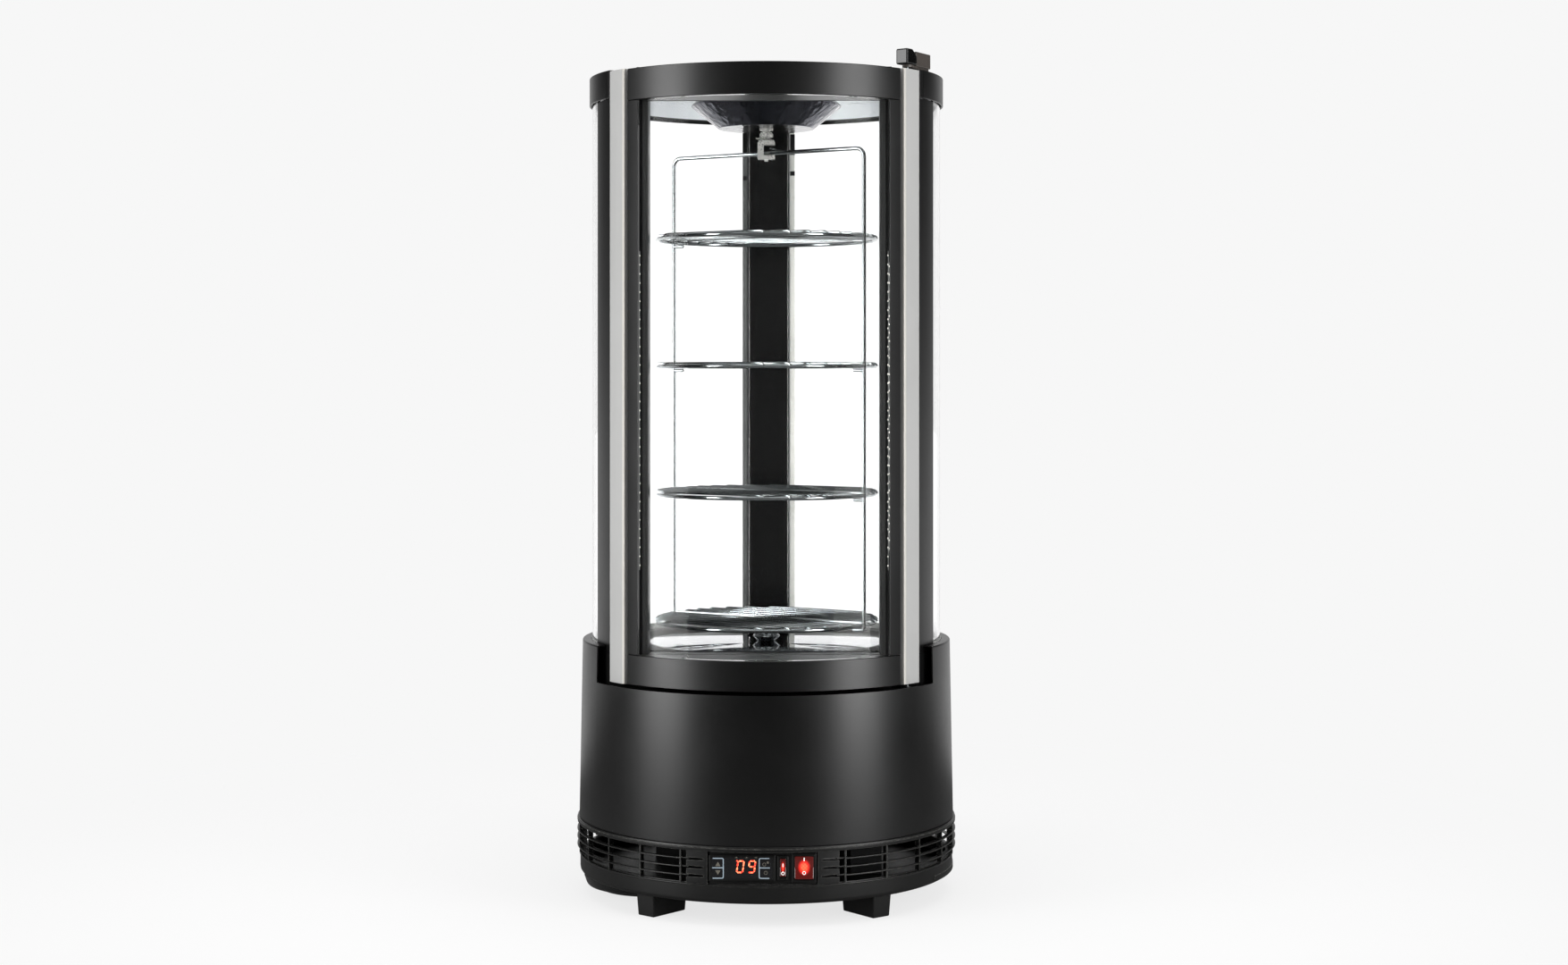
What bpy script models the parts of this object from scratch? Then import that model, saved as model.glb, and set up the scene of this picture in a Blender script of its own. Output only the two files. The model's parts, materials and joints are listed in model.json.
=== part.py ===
"""Round refrigerated display case: louvred base, curved pivot door and a turning rack of wire shelves."""

from math import asin, cos, degrees, pi, radians, sin, sqrt

import bmesh
import bpy
from mathutils import Matrix, Vector

for old in list(bpy.data.objects):
    bpy.data.objects.remove(old, do_unlink=True)

# Sizes in metres and angles in degrees. Angles run round the case from the middle of the front.

# Clearance between pieces that touch, and how far a cutter runs past a wall and past the whole case
GAP = 0.0003
PAST = 0.02
FAR = 0.3

# Base, from the floor upwards
BASE_RADIUS = 0.225
FOOT_HEIGHT = 0.026
FOOT_LENGTH = 0.057
FOOT_WIDTH = 0.026
FOOT_TAPER = 0.93
FOOT_ANGLE = 39.4
FOOT_INSET = 0.0107
FOOT_EDGE = 0.0012
PAN_INSET = 0.0028
PAN_HEIGHT = 0.021
PAN_WALL = 0.002
PAN_CORNER = 0.003
PAN_STEP_START = 62.0
PAN_STEP_END = 101.0
PAN_STEP_RISE = 0.0022
PAN_STEP_HEIGHT = 0.0066
PAN_STEP_PROUD = 0.0008
TRAY_RADIUS = 0.0755
TRAY_DEPTH = 0.018
TRAY_WALL = 0.002
TRAY_FLARE = 0.005
TRAY_SLOPE = 0.0068
TRAY_SHOULDER = 0.019
TRAY_STEP = 0.004
TRAY_ANGLE = -73.84
TRAY_INSET = 0.003

# Louvred vent ring
BEZEL_MARGIN = 0.0022
VENT_LIP = 0.006
VENT_DEPTH = 0.009
LIP_CHAMFER = 0.0015
BAND_THICKNESS = 0.0063
BAND_DROP = 0.005
BAND_RISE = 0.001
SLAT_THICKNESS = 0.0016
SLAT_DEPTH = 0.004
SLAT_COUNT = 3
RIB_COUNT = 23
RIB_THICKNESS = 0.0022
RIB_INSET = 0.001
CHEEK_SET_BACK = 0.0012
CHEEK_SPAN = 6.4
CHEEK_GAP = 2.1
GROOVE_WIDE = 0.0032
GROOVE_NARROW = 0.0016
GROOVE_DEPTH = 0.0045
GROOVE_LAND = 1.0
GROOVE_CLEAR = 0.5

# Skirt
SKIRT_HEIGHT = 0.209
SKIRT_INSET = 0.0026
SKIRT_TAPER = 0.0039
SKIRT_WALL = 0.0015
SKIRT_RIM = 0.0016
SKIRT_RIM_WIDTH = 0.0103
NOTCH_LAP = 4.2
NOTCH_CLEARANCE = 0.003

# Controls, with widths, depths and heights in that order
PANEL_WALL = 0.004
PANEL_RECESS = 0.011
PANEL_MARGIN = 0.0005
CONTROLLER_SIZE = (0.0735, 0.024, 0.029)
CONTROLLER_PROUD = 0.0025
CONTROLLER_FLANGE = 0.002
CONTROLLER_X = -0.0227
SMALL_BEZEL = (0.012, 0.018, 0.0275)
SMALL_ROCKER = (0.0065, 0.0196)
SMALL_SWITCH_GAP = 0.00255
LARGE_BEZEL = (0.0271, 0.022, 0.0326)
LARGE_ROCKER = (0.0205, 0.0250)
LARGE_SWITCH_GAP = 0.00385
BEZEL_PROUD = 0.0022
BEZEL_FLANGE = 0.0015
CONTROL_RISE = 0.0003
ROCKER_TILT = 9.0
ROCKER_RISE = 0.0046
ROCKER_DEPTH = 0.0045
ROCKER_AXIS_DEPTH = 0.0035
ROCKER_BACK_SHARE = 0.8

# Cold floor
SILL_CLEARANCE = 0.005
SILL_THICKNESS = 0.0045
FLOOR_DROP = 0.007
TUB_RADIUS = 0.104
TUB_WALL = 0.008
TUB_DEPTH = 0.062
DISC_RADIUS = 0.139
DISC_THICKNESS = 0.002
FLOOR_RING_INSET = 0.0015
FLOOR_RING_HEIGHT = 0.0027
FLOOR_RING_RIM = 0.012
FLOOR_RING_DIP = 0.001
BOSS_RADIUS = 0.0165
BOSS_HEIGHT = 0.0125
BOSS_SIDES = 8

# Glass body
CABIN_HEIGHT = 0.631
GLASS_INSET = 0.0012
GLASS_SPACING = 0.011
GLASS_THICKNESS = 0.003
CHANNEL_HEIGHT = 0.0077
CHANNEL_BASE = 0.002
POST_GAP_ANGLE = 1.5
POST_SPAN = 13.0
POST_LAP = 0.001

# Flat front frame that the door closes against
FRAME_LAP = 0.0009
FRAME_BORDER = 0.014
FRAME_DEPTH = 0.032
FRAME_HEAD = 0.033
FRAME_SILL = 0.038

# Top
RING_HEIGHT = 0.032
RING_OVERHANG = 0.0035
RING_WALL = 0.0022
RING_LAP = 2.5
RING_CORNER_LAP = 1.0
LEDGE_HEIGHT = 0.004
LEDGE_THICKNESS = 0.002
LID_THICKNESS = 0.002
CEILING_DROP = 0.009
CEILING_THICKNESS = 0.003
CEILING_INSET = 0.0025
CEILING_WALL = 0.0015
CEILING_SKIRT = 0.002

# Door
DOOR_PROUD = 0.005
DOOR_ANGLE = 47.0
DOOR_LAP = 0.0026
DOOR_DROP = 0.0395
DOOR_TOP_DROP = 0.0025
TOP_RAIL_HEIGHT = 0.0365
BOTTOM_RAIL_HEIGHT = 0.0345
STILE_WIDTH = 0.01235
TONGUE_DEPTH = 0.004
TONGUE_SET_BACK = 0.006
DOOR_GLASS_INSET = 0.003
TRIM_STANDOFF = 0.001
TRIM_DEPTH = 0.014
TRIM_GAP_ANGLE = 1.4
TRIM_SPAN = 8.1
TRIM_PROUD = 0.0005
PIVOT_INSET = 0.008
PIVOT_SHIFT = 4.1
PIVOT_PIN_RADIUS = 0.003
PIVOT_CLEARANCE = 0.0015
PIN_REACH = 0.009
GASKET_THICKNESS = 0.0027
GASKET_REVEAL = 0.0005
GASKET_WIDTH = 0.006
GASKET_OVERLAP = 0.006
LED_LENGTH = 0.362
LED_RISE = 0.096
LED_DEPTH = 0.007
LED_WIDTH = 0.003
LED_SET_BACK = 0.001

# Hinge brackets
BRACKET_THICKNESS = 0.003
LOWER_BRACKET_THICKNESS = 0.0015
BRACKET_NOSE = 0.008
LOWER_NOSE = 0.009
LOWER_HALF_WIDTH = 0.014
BRACKET_CORNERS = ((5.5, -0.0027), (9.0, 0.0083), (5.0, 0.0263))
HINGE_CAP_LENGTH = 0.020
HINGE_CAP_DEPTH = 0.016
HINGE_CAP_HEIGHT = 0.0178
HINGE_CAP_SLOPE = 0.008
HINGE_CAP_EDGE = 0.0018
HINGE_BLOCK_LENGTH = 0.0365
HINGE_BLOCK_DEPTH = 0.010
HINGE_BLOCK_HEIGHT = 0.0175
HINGE_BLOCK_SHIFT = 8.5
HINGE_BLOCK_INSET = 0.0062

# Turning rack
RACK_ANGLE = -32.0
ROD_RADIUS = 0.0025
RACK_CLEARANCE = 0.012
SHELF_WIRE = 0.0025
CROSS_WIRE = 0.0015
CROSS_WIRE_COUNT = 13
SHELF_COUNT = 4
SHELF_PITCH = 0.1513
LOWEST_SHELF = 0.027
CORNER_RADIUS = 0.010
HOOK_RADIUS = 0.005
PEG_LENGTH = 0.014
PEG_WIRE = 0.002

# Drive under the ceiling
DOME_HEIGHT = 0.036
DOME_TOP_RADIUS = 0.080
DOME_WIDE_RADIUS = 0.090
DOME_BOTTOM_RADIUS = 0.057
DOME_TAPER = 0.009
DOME_WALL = 0.0015
DOME_BORE = 0.013
NECK_HEIGHT = 0.010
MOTOR_RADIUS = 0.030
SHAFT_RADIUS = 0.004
SHAFT_LENGTH = 0.006
STACK_REACH = 0.003
STACK_RADIUS = 0.008
STACK_NUT_RADIUS = 0.0095
STACK_NECK_RADIUS = 0.006
STACK_COLLAR = 0.003
STACK_NUT = 0.005
STACK_LEVER = 0.0127
STACK_LEVER_WIDTH = 0.004
CLAMP_WIDTH = 0.0205
CLAMP_HEIGHT = 0.020
CLAMP_DEPTH = 0.016
CLAMP_PLATE = 0.003
CLAMP_FOOT = 0.0045
CLAMP_WEB = 0.007
CLAMP_BOLT_RADIUS = 0.0024
CLAMP_BOLT_HEAD = 0.0025

# Air column
COLUMN_HALF_WIDTH = 0.0265
COLUMN_DEPTH = 0.0355
COLUMN_INSET = 0.0025
STRIP_WIDTH = 0.0062
STRIP_DEPTH = 0.014
STRIP_SET_BACK = 0.006
COLUMN_EDGE = 0.004

# Machine room
COMPRESSOR_RADIUS = 0.056
COMPRESSOR_HEIGHT = 0.130
COMPRESSOR_CENTRE = (-0.080, 0.030)
COIL_SIZE = (0.036, 0.160, 0.110)
COIL_CENTRE = (0.118, 0.020)
FAN_RADIUS = 0.050
FAN_HUB = 0.014
FAN_WIDTH = 0.012
FAN_X = 0.078
FAN_GAP = 0.002
SHROUD_WIDTH = 0.120
FAN_MOTOR_RADIUS = 0.020
FAN_MOTOR_LENGTH = 0.032
STAND_WIDTH = 0.020
STAND_THICKNESS = 0.004
BLADE_PITCH = 32.0
BLADE_THICKNESS = 0.0016
FIN_COUNT = 8
EVAPORATOR_SIZE = (0.110, 0.090, 0.040)
EVAPORATOR_Y = -0.020
EVAPORATOR_FAN_RADIUS = 0.030
EVAPORATOR_FAN_HUB = 0.010
EVAPORATOR_FAN_WIDTH = 0.010
EVAPORATOR_FAN_SPACE = 0.004
EVAPORATOR_MOTOR_RADIUS = 0.014
EVAPORATOR_MOTOR_HEIGHT = 0.030

# Cable gland
GLAND_RADIUS = 0.011
GLAND_BORE = 0.0045
GLAND_RISE = 0.045
GLAND_THICKNESS = 0.0024

# Facets round a full turn
FINE = 48
MEDIUM = 32
COARSE = 16
SMALL = 12

# Share of its radius that the finest faceted circle keeps at the middle of a facet
ROUND = cos(pi / FINE)

# Radii that follow from the sizes, from the base in to the cabin and out to the door
PAN_RADIUS = BASE_RADIUS - PAN_INSET
FOOT_OUTER_RADIUS = PAN_RADIUS - FOOT_INSET
SKIRT_BOTTOM_RADIUS = BASE_RADIUS - SKIRT_INSET
SKIRT_TOP_RADIUS = SKIRT_BOTTOM_RADIUS - SKIRT_TAPER
PLUG_RADIUS = SKIRT_TOP_RADIUS - SKIRT_RIM_WIDTH
GLASS_RADIUS = PLUG_RADIUS - GLASS_INSET
INNER_GLASS_RADIUS = GLASS_RADIUS - GLASS_SPACING
POST_INNER_RADIUS = INNER_GLASS_RADIUS - GLASS_THICKNESS - POST_LAP
FLOOR_RING_RADIUS = POST_INNER_RADIUS - FLOOR_RING_INSET
CEILING_RADIUS = POST_INNER_RADIUS - CEILING_INSET
RING_RADIUS = GLASS_RADIUS + RING_OVERHANG
DOOR_RADIUS = GLASS_RADIUS + DOOR_PROUD
DOOR_GLASS_RADIUS = DOOR_RADIUS - DOOR_GLASS_INSET
TRIM_RADIUS = DOOR_RADIUS + TRIM_STANDOFF
PIVOT_RADIUS = TRIM_RADIUS - PIVOT_INSET
HINGE_BLOCK_RADIUS = RING_RADIUS - HINGE_BLOCK_INSET
COLUMN_BACK = CEILING_RADIUS - CEILING_WALL - COLUMN_INSET
COLUMN_FRONT = COLUMN_BACK - COLUMN_DEPTH
ROD_CIRCLE = COLUMN_FRONT - RACK_CLEARANCE - ROD_RADIUS

# Controls in a row along the panel, which is as wide as they need, and the cheeks beside it
SMALL_SWITCH_X = CONTROLLER_X + CONTROLLER_SIZE[0] / 2 + SMALL_SWITCH_GAP + SMALL_BEZEL[0] / 2
LARGE_SWITCH_X = SMALL_SWITCH_X + SMALL_BEZEL[0] / 2 + LARGE_SWITCH_GAP + LARGE_BEZEL[0] / 2
ROW_LEFT = CONTROLLER_SIZE[0] / 2 - CONTROLLER_X - CONTROLLER_FLANGE
ROW_RIGHT = LARGE_SWITCH_X + LARGE_BEZEL[0] / 2 - BEZEL_FLANGE
BAY_HALF = max(ROW_LEFT, ROW_RIGHT) + GAP + PANEL_MARGIN
BAY_ANGLE = degrees(asin((BAY_HALF + GAP) / (BASE_RADIUS - VENT_DEPTH)))
CHEEK_ANGLE = BAY_ANGLE + CHEEK_SPAN
GAP_ANGLE = CHEEK_ANGLE + CHEEK_GAP

# Angles of the door's edge and of what stands beside it
TRIM_ANGLE_INNER = DOOR_ANGLE + TRIM_GAP_ANGLE
TRIM_ANGLE_OUTER = TRIM_ANGLE_INNER + TRIM_SPAN
PIVOT_ANGLE = TRIM_ANGLE_INNER + PIVOT_SHIFT
POST_ANGLE_FRONT = TRIM_ANGLE_OUTER + POST_GAP_ANGLE
POST_ANGLE_BACK = POST_ANGLE_FRONT + POST_SPAN
RING_ANGLE = POST_ANGLE_FRONT + RING_LAP
NOTCH_ANGLE = POST_ANGLE_FRONT + NOTCH_LAP
HINGE_BLOCK_ANGLE = PIVOT_ANGLE + HINGE_BLOCK_SHIFT

# Levels that follow from the sizes
NOTCH_DEPTH = DOOR_DROP + NOTCH_CLEARANCE
SILL_DROP = DOOR_DROP + SILL_CLEARANCE
VENT_HEIGHT = max(CONTROLLER_SIZE[2], SMALL_BEZEL[2], LARGE_BEZEL[2]) + 2 * BEZEL_MARGIN + VENT_LIP
PAN_TOP = FOOT_HEIGHT + PAN_HEIGHT
VENT_TOP = PAN_TOP + VENT_HEIGHT
LIP_BOTTOM = VENT_TOP - VENT_LIP
CONTROL_Z = (PAN_TOP + LIP_BOTTOM) / 2 + CONTROL_RISE
SKIRT_BOTTOM = VENT_TOP + GAP
SKIRT_TOP = VENT_TOP + SKIRT_HEIGHT
NOTCH_BOTTOM = SKIRT_TOP - NOTCH_DEPTH
SILL_TOP = SKIRT_TOP - SILL_DROP
FLOOR_TOP = SKIRT_TOP - FLOOR_DROP
RING_BOTTOM = SKIRT_TOP + CABIN_HEIGHT
CASE_TOP = RING_BOTTOM + RING_HEIGHT
LID_BOTTOM = CASE_TOP - LID_THICKNESS
CEILING_BOTTOM = LID_BOTTOM - CEILING_DROP
DOOR_BOTTOM = SKIRT_TOP - DOOR_DROP
DOOR_TOP = CASE_TOP - DOOR_TOP_DROP
DOOR_OPENING_BOTTOM = DOOR_BOTTOM + BOTTOM_RAIL_HEIGHT
DOOR_OPENING_TOP = DOOR_TOP - TOP_RAIL_HEIGHT
PANEL_FRONT = BASE_RADIUS - PANEL_RECESS
DOME_TOP = CEILING_BOTTOM - GAP
DOME_BOTTOM = DOME_TOP - NECK_HEIGHT - DOME_HEIGHT
STACK_TOP = DOME_BOTTOM + STACK_REACH
CLAMP_TOP = STACK_TOP - 3 * STACK_COLLAR - 2 * STACK_NUT
CLAMP_BOTTOM = CLAMP_TOP - CLAMP_HEIGHT
RACK_TOP = CLAMP_BOTTOM + CLAMP_FOOT + GAP + ROD_RADIUS
SHELF_LEVELS = [FLOOR_TOP + LOWEST_SHELF + SHELF_PITCH * number for number in range(SHELF_COUNT)]

case = bpy.data.collections.new("refrigerated_display_case")
helpers = bpy.data.collections.new("display_case_cutters")
bpy.context.scene.collection.children.link(case)
bpy.context.scene.collection.children.link(helpers)


def around(angle, radius, height=0.0):
    """The point at an angle round the case, measured from the middle of the front towards +X."""
    return Vector((radius * sin(radians(angle)), -radius * cos(radians(angle)), height))


def material(name, colour, roughness, metallic=0.0, alpha=1.0, transmission=0.0):
    made = bpy.data.materials.new(name)
    made.use_nodes = True
    shader = made.node_tree.nodes["Principled BSDF"]
    linear = [(c / 12.92 if c <= 0.04045 else ((c + 0.055) / 1.055) ** 2.4) for c in colour]
    shader.inputs["Base Color"].default_value = (*linear, 1.0)
    shader.inputs["Roughness"].default_value = roughness
    shader.inputs["Metallic"].default_value = metallic
    shader.inputs["Alpha"].default_value = alpha
    shader.inputs["Transmission Weight"].default_value = transmission
    made.diffuse_color = (*linear, alpha)
    return made


BLACK_PAINT = material("black_painted_steel", (0.17, 0.17, 0.17), 0.42)
BLACK_PLASTIC = material("black_moulded_plastic", (0.10, 0.10, 0.10), 0.5)
GLOSS_BLACK = material("gloss_black_plastic", (0.03, 0.03, 0.03), 0.12)
SATIN_ALUMINIUM = material("satin_anodised_aluminium", (0.72, 0.72, 0.72), 0.38, 1.0)
CHROME = material("chromed_steel_wire", (0.80, 0.81, 0.82), 0.08, 1.0)
POLISHED = material("mirror_polished_steel", (0.86, 0.86, 0.88), 0.04, 1.0)
GLASS = material("clear_glass", (0.93, 0.96, 0.96), 0.02, 0.0, 0.25, 1.0)
WHITE_ENAMEL = material("pale_grey_enamel", (0.86, 0.87, 0.89), 0.3)
RUBBER = material("dark_grey_gasket_rubber", (0.22, 0.22, 0.22), 0.7)
FOAM_CORE = material("painted_insulated_floor", (0.09, 0.09, 0.09), 0.5)
RED_LENS = material("red_switch_lens", (0.85, 0.10, 0.06), 0.25)
COPPER = material("copper_tube", (0.72, 0.42, 0.27), 0.3, 1.0)
FIN_METAL = material("aluminium_fins", (0.75, 0.76, 0.77), 0.35, 1.0)
DIFFUSER = material("opal_strip", (0.86, 0.87, 0.86), 0.25)


def shade(mesh, smooth=True, limit=32.0):
    if smooth:
        mesh.shade_smooth()
        mesh.set_sharp_from_angle(angle=radians(limit))


def place(name, mesh, surface, helper=False):
    """An object of this mesh in the case, or among the cutters."""
    made = bpy.data.objects.new(name, mesh)
    if helper:
        made.hide_render = True
        made.display_type = "WIRE"
        helpers.objects.link(made)
        return made
    mesh.materials.append(surface)
    case.objects.link(made)
    return made


def from_bmesh(name, shape, surface, helper=False, smooth=True):
    bmesh.ops.recalc_face_normals(shape, faces=shape.faces)
    mesh = bpy.data.meshes.new(name)
    shape.to_mesh(mesh)
    shape.free()
    shade(mesh, smooth)
    return place(name, mesh, surface, helper)


def clockwise(profile):
    """The profile in the order that runs down its outer side."""
    area = 0.0
    for (r0, z0), (r1, z1) in zip(profile, profile[1:] + profile[:1]):
        area += r0 * z1 - r1 * z0
    return list(profile) if area < 0 else list(reversed(profile))


def turned(name, profile, surface, steps=MEDIUM, helper=False, centre=(0.0, 0.0)):
    """A full turn of a profile of (radius, height) points about the upright axis."""
    on_axis = any(r == 0.0 for r, z in profile)
    profile = clockwise(profile)
    if on_axis:
        while profile[0][0] != 0.0 or profile[-1][0] != 0.0:
            profile = profile[1:] + profile[:1]
    shape = bmesh.new()
    points = [shape.verts.new((r, 0.0, z)) for r, z in profile]
    for a, b in zip(points, points[1:]):
        shape.edges.new((a, b))
    if not on_axis:
        shape.edges.new((points[-1], points[0]))
    mesh = bpy.data.meshes.new(name)
    shape.to_mesh(mesh)
    shape.free()
    made = place(name, mesh, surface, helper)
    made.location = (centre[0], centre[1], 0.0)
    screw = made.modifiers.new("turn", "SCREW")
    screw.angle = 2 * pi
    screw.steps = steps
    screw.render_steps = steps
    screw.use_merge_vertices = True
    screw.merge_threshold = 0.00001
    screw.use_smooth_shade = True
    return made


def spun(shape, profile, start, end, steps):
    """Adds to a bmesh the solid that a profile of (radius, height) sweeps between two angles."""
    corners = [shape.verts.new(around(start, r, z)) for r, z in profile]
    face = shape.faces.new(corners)
    bmesh.ops.spin(
        shape,
        geom=[face] + list(face.edges) + corners,
        cent=(0.0, 0.0, 0.0),
        axis=(0.0, 0.0, 1.0),
        angle=radians(end - start),
        steps=steps,
    )


def sector(name, profile, start, end, surface, full=MEDIUM, helper=False):
    """Part of a turn of a profile, from one angle to another."""
    shape = bmesh.new()
    spun(shape, profile, start, end, max(2, round(full * abs(end - start) / 360)))
    return from_bmesh(name, shape, surface, helper)


def box(name, size, centre, surface, helper=False, turn=0.0, bevel=0.0):
    shape = bmesh.new()
    bmesh.ops.create_cube(shape, size=1.0, matrix=Matrix.Diagonal((*size, 1.0)))
    made = from_bmesh(name, shape, surface, helper, smooth=bevel > 0)
    made.location = centre
    made.rotation_euler = (0.0, 0.0, radians(turn))
    if bevel > 0:
        rounding = made.modifiers.new("rounded_edges", "BEVEL")
        rounding.width = bevel
        rounding.segments = 2
        rounding.limit_method = "ANGLE"
    return made


def span_box(name, low, high, surface, helper=False, bevel=0.0):
    """A box between two corners."""
    size = [b - a for a, b in zip(low, high)]
    centre = [(a + b) / 2 for a, b in zip(low, high)]
    return box(name, size, centre, surface, helper, 0.0, bevel)


def rod(name, radius, start, end, surface, sides=SMALL, helper=False):
    """A round bar between two points."""
    start, end = Vector(start), Vector(end)
    shape = bmesh.new()
    upright = (end - start).to_track_quat("Z", "Y").to_matrix().to_4x4()
    bmesh.ops.create_cone(
        shape,
        cap_ends=True,
        segments=sides,
        radius1=radius,
        radius2=radius,
        depth=(end - start).length,
        matrix=Matrix.Translation((start + end) / 2) @ upright,
    )
    return from_bmesh(name, shape, surface, helper)


def plate(name, outlines, low, high, surface, helper=False):
    """A flat outline, with holes where it has more than one loop, made thick between two heights."""
    curve = bpy.data.curves.new(name, "CURVE")
    curve.dimensions = "2D"
    curve.fill_mode = "BOTH"
    curve.extrude = (high - low) / 2
    for loop in outlines:
        spline = curve.splines.new("POLY")
        spline.points.add(len(loop) - 1)
        for point, (x, y) in zip(spline.points, loop):
            point.co = (x, y, 0.0, 1.0)
        spline.use_cyclic_u = True
    made = bpy.data.objects.new(name, curve)
    made.location = (0.0, 0.0, (low + high) / 2)
    case.objects.link(made)
    return solid(made, surface, helper)


def solid(made, surface, helper=False):
    """The mesh of a curve object, with its caps welded, in the curve's place."""
    bpy.context.view_layer.update()
    graph = bpy.context.evaluated_depsgraph_get()
    mesh = bpy.data.meshes.new_from_object(made.evaluated_get(graph))
    name, where = made.name, made.matrix_world.copy()
    bpy.data.objects.remove(made, do_unlink=True)
    shape = bmesh.new()
    shape.from_mesh(mesh)
    bmesh.ops.remove_doubles(shape, verts=shape.verts, dist=0.000005)
    bmesh.ops.recalc_face_normals(shape, faces=shape.faces)
    shape.to_mesh(mesh)
    shape.free()
    mesh.name = name
    mesh.materials.clear()
    shade(mesh)
    result = place(name, mesh, surface, helper)
    result.matrix_world = where
    return result


def wire(name, points, radius, surface, resolution=2, helper=False):
    """A bent wire through a list of points."""
    curve = bpy.data.curves.new(name, "CURVE")
    curve.dimensions = "3D"
    curve.bevel_depth = radius
    curve.bevel_resolution = resolution
    curve.use_fill_caps = True
    spline = curve.splines.new("POLY")
    spline.points.add(len(points) - 1)
    for point, co in zip(spline.points, points):
        point.co = (*co, 1.0)
    made = bpy.data.objects.new(name, curve)
    case.objects.link(made)
    return solid(made, surface, helper)


def arc(centre, radius, start, end, steps):
    """Points on a circle in plan, between two angles measured from +X."""
    points = []
    for i in range(steps + 1):
        angle = radians(start + (end - start) * i / steps)
        points.append((centre[0] + radius * cos(angle), centre[1] + radius * sin(angle)))
    return points


def case_arc(radius, start, end, steps):
    """Points on a circle round the case, between two angles from the front."""
    return arc((0.0, 0.0), radius, start - 90, end - 90, steps)


def mirrored(loop):
    """The same outline on the other side of the case."""
    return [(-x, y) for x, y in reversed(loop)]


def cut(made, cutter):
    step = made.modifiers.new("cut", "BOOLEAN")
    step.operation = "DIFFERENCE"
    step.solver = "EXACT"
    step.object = cutter
    return made


def join(made, other):
    step = made.modifiers.new("join", "BOOLEAN")
    step.operation = "UNION"
    step.solver = "EXACT"
    step.object = other
    return made


def hang(pivot, pieces):
    """Parents pieces to an empty that stands on their joint's axis."""
    for piece in pieces:
        piece.parent = pivot
        piece.matrix_parent_inverse = Matrix.Translation(-pivot.location)


def pivot_at(name, location):
    pivot = bpy.data.objects.new(name, None)
    pivot.location = location
    pivot.empty_display_size = 0.03
    case.objects.link(pivot)
    return pivot


def skirt_radius(height):
    """Outside of the slightly tapered skirt at a height."""
    share = (height - VENT_TOP) / SKIRT_HEIGHT
    return SKIRT_BOTTOM_RADIUS + (SKIRT_TOP_RADIUS - SKIRT_BOTTOM_RADIUS) * share


# Plan of the door, its pivot and the flat frame behind it
rail_half = DOOR_RADIUS * sin(radians(DOOR_ANGLE))
DOOR_BACK = DOOR_RADIUS * cos(radians(DOOR_ANGLE)) - DOOR_LAP
FRAME_FRONT = DOOR_BACK - GASKET_THICKNESS - 2 * GAP
FRONT_PLANE = FRAME_FRONT - FRAME_DEPTH
STILE_INNER = rail_half - STILE_WIDTH
PIVOT = around(PIVOT_ANGLE, PIVOT_RADIUS)
trim_corners = [
    around(angle, radius)
    for angle in (TRIM_ANGLE_INNER, TRIM_ANGLE_OUTER)
    for radius in (TRIM_RADIUS, TRIM_RADIUS - TRIM_DEPTH)
]
PIVOT_RELIEF = max((corner - PIVOT).length for corner in trim_corners) + PIVOT_CLEARANCE
FRAME_HALF_WIDTH = PIVOT.x - PIVOT_RELIEF + FRAME_LAP
FRAME_OPENING = FRAME_HALF_WIDTH - FRAME_BORDER
GASKET_INNER = FRAME_OPENING + GASKET_REVEAL
GASKET_OUTER = GASKET_INNER + GASKET_WIDTH

# Base pan, a pressed dish with a raised band on its right side
pan_profile = [
    (0.0, FOOT_HEIGHT),
    (PAN_RADIUS - PAN_CORNER, FOOT_HEIGHT),
    (PAN_RADIUS, FOOT_HEIGHT + PAN_CORNER),
    (PAN_RADIUS, PAN_TOP),
    (PAN_RADIUS - PAN_WALL, PAN_TOP),
    (PAN_RADIUS - PAN_WALL, FOOT_HEIGHT + PAN_WALL),
    (0.0, FOOT_HEIGHT + PAN_WALL),
]
pan = turned("base_pan", pan_profile, BLACK_PLASTIC, FINE)
step_low = FOOT_HEIGHT + PAN_STEP_RISE
step_profile = [
    (PAN_RADIUS - PAN_WALL / 2, step_low),
    (PAN_RADIUS + PAN_STEP_PROUD, step_low),
    (PAN_RADIUS + PAN_STEP_PROUD, step_low + PAN_STEP_HEIGHT),
    (PAN_RADIUS - PAN_WALL / 2, step_low + PAN_STEP_HEIGHT),
]
join(pan, sector("pan_step", step_profile, PAN_STEP_START, PAN_STEP_END, BLACK_PLASTIC, FINE, helper=True))

# Tapered block feet, set radially under the pan
FOOT_SPOTS = (-FOOT_ANGLE, FOOT_ANGLE, 180 - FOOT_ANGLE, 180 + FOOT_ANGLE)
foot_size = Matrix.Diagonal((FOOT_WIDTH, FOOT_LENGTH, FOOT_HEIGHT - GAP, 1.0))
for number, angle in enumerate(FOOT_SPOTS, 1):
    shape = bmesh.new()
    block = bmesh.ops.create_cube(shape, size=1.0, matrix=foot_size)
    for corner in block["verts"]:
        if corner.co.z < 0:
            corner.co.x *= FOOT_TAPER
            corner.co.y *= FOOT_TAPER
    foot = from_bmesh(f"foot_{number}", shape, BLACK_PLASTIC)
    foot.location = around(angle, FOOT_OUTER_RADIUS - FOOT_LENGTH / 2, (FOOT_HEIGHT - GAP) / 2)
    foot.rotation_euler = (0.0, 0.0, radians(angle))
    edges = foot.modifiers.new("rounded_edges", "BEVEL")
    edges.width = FOOT_EDGE
    edges.segments = 1

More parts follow.
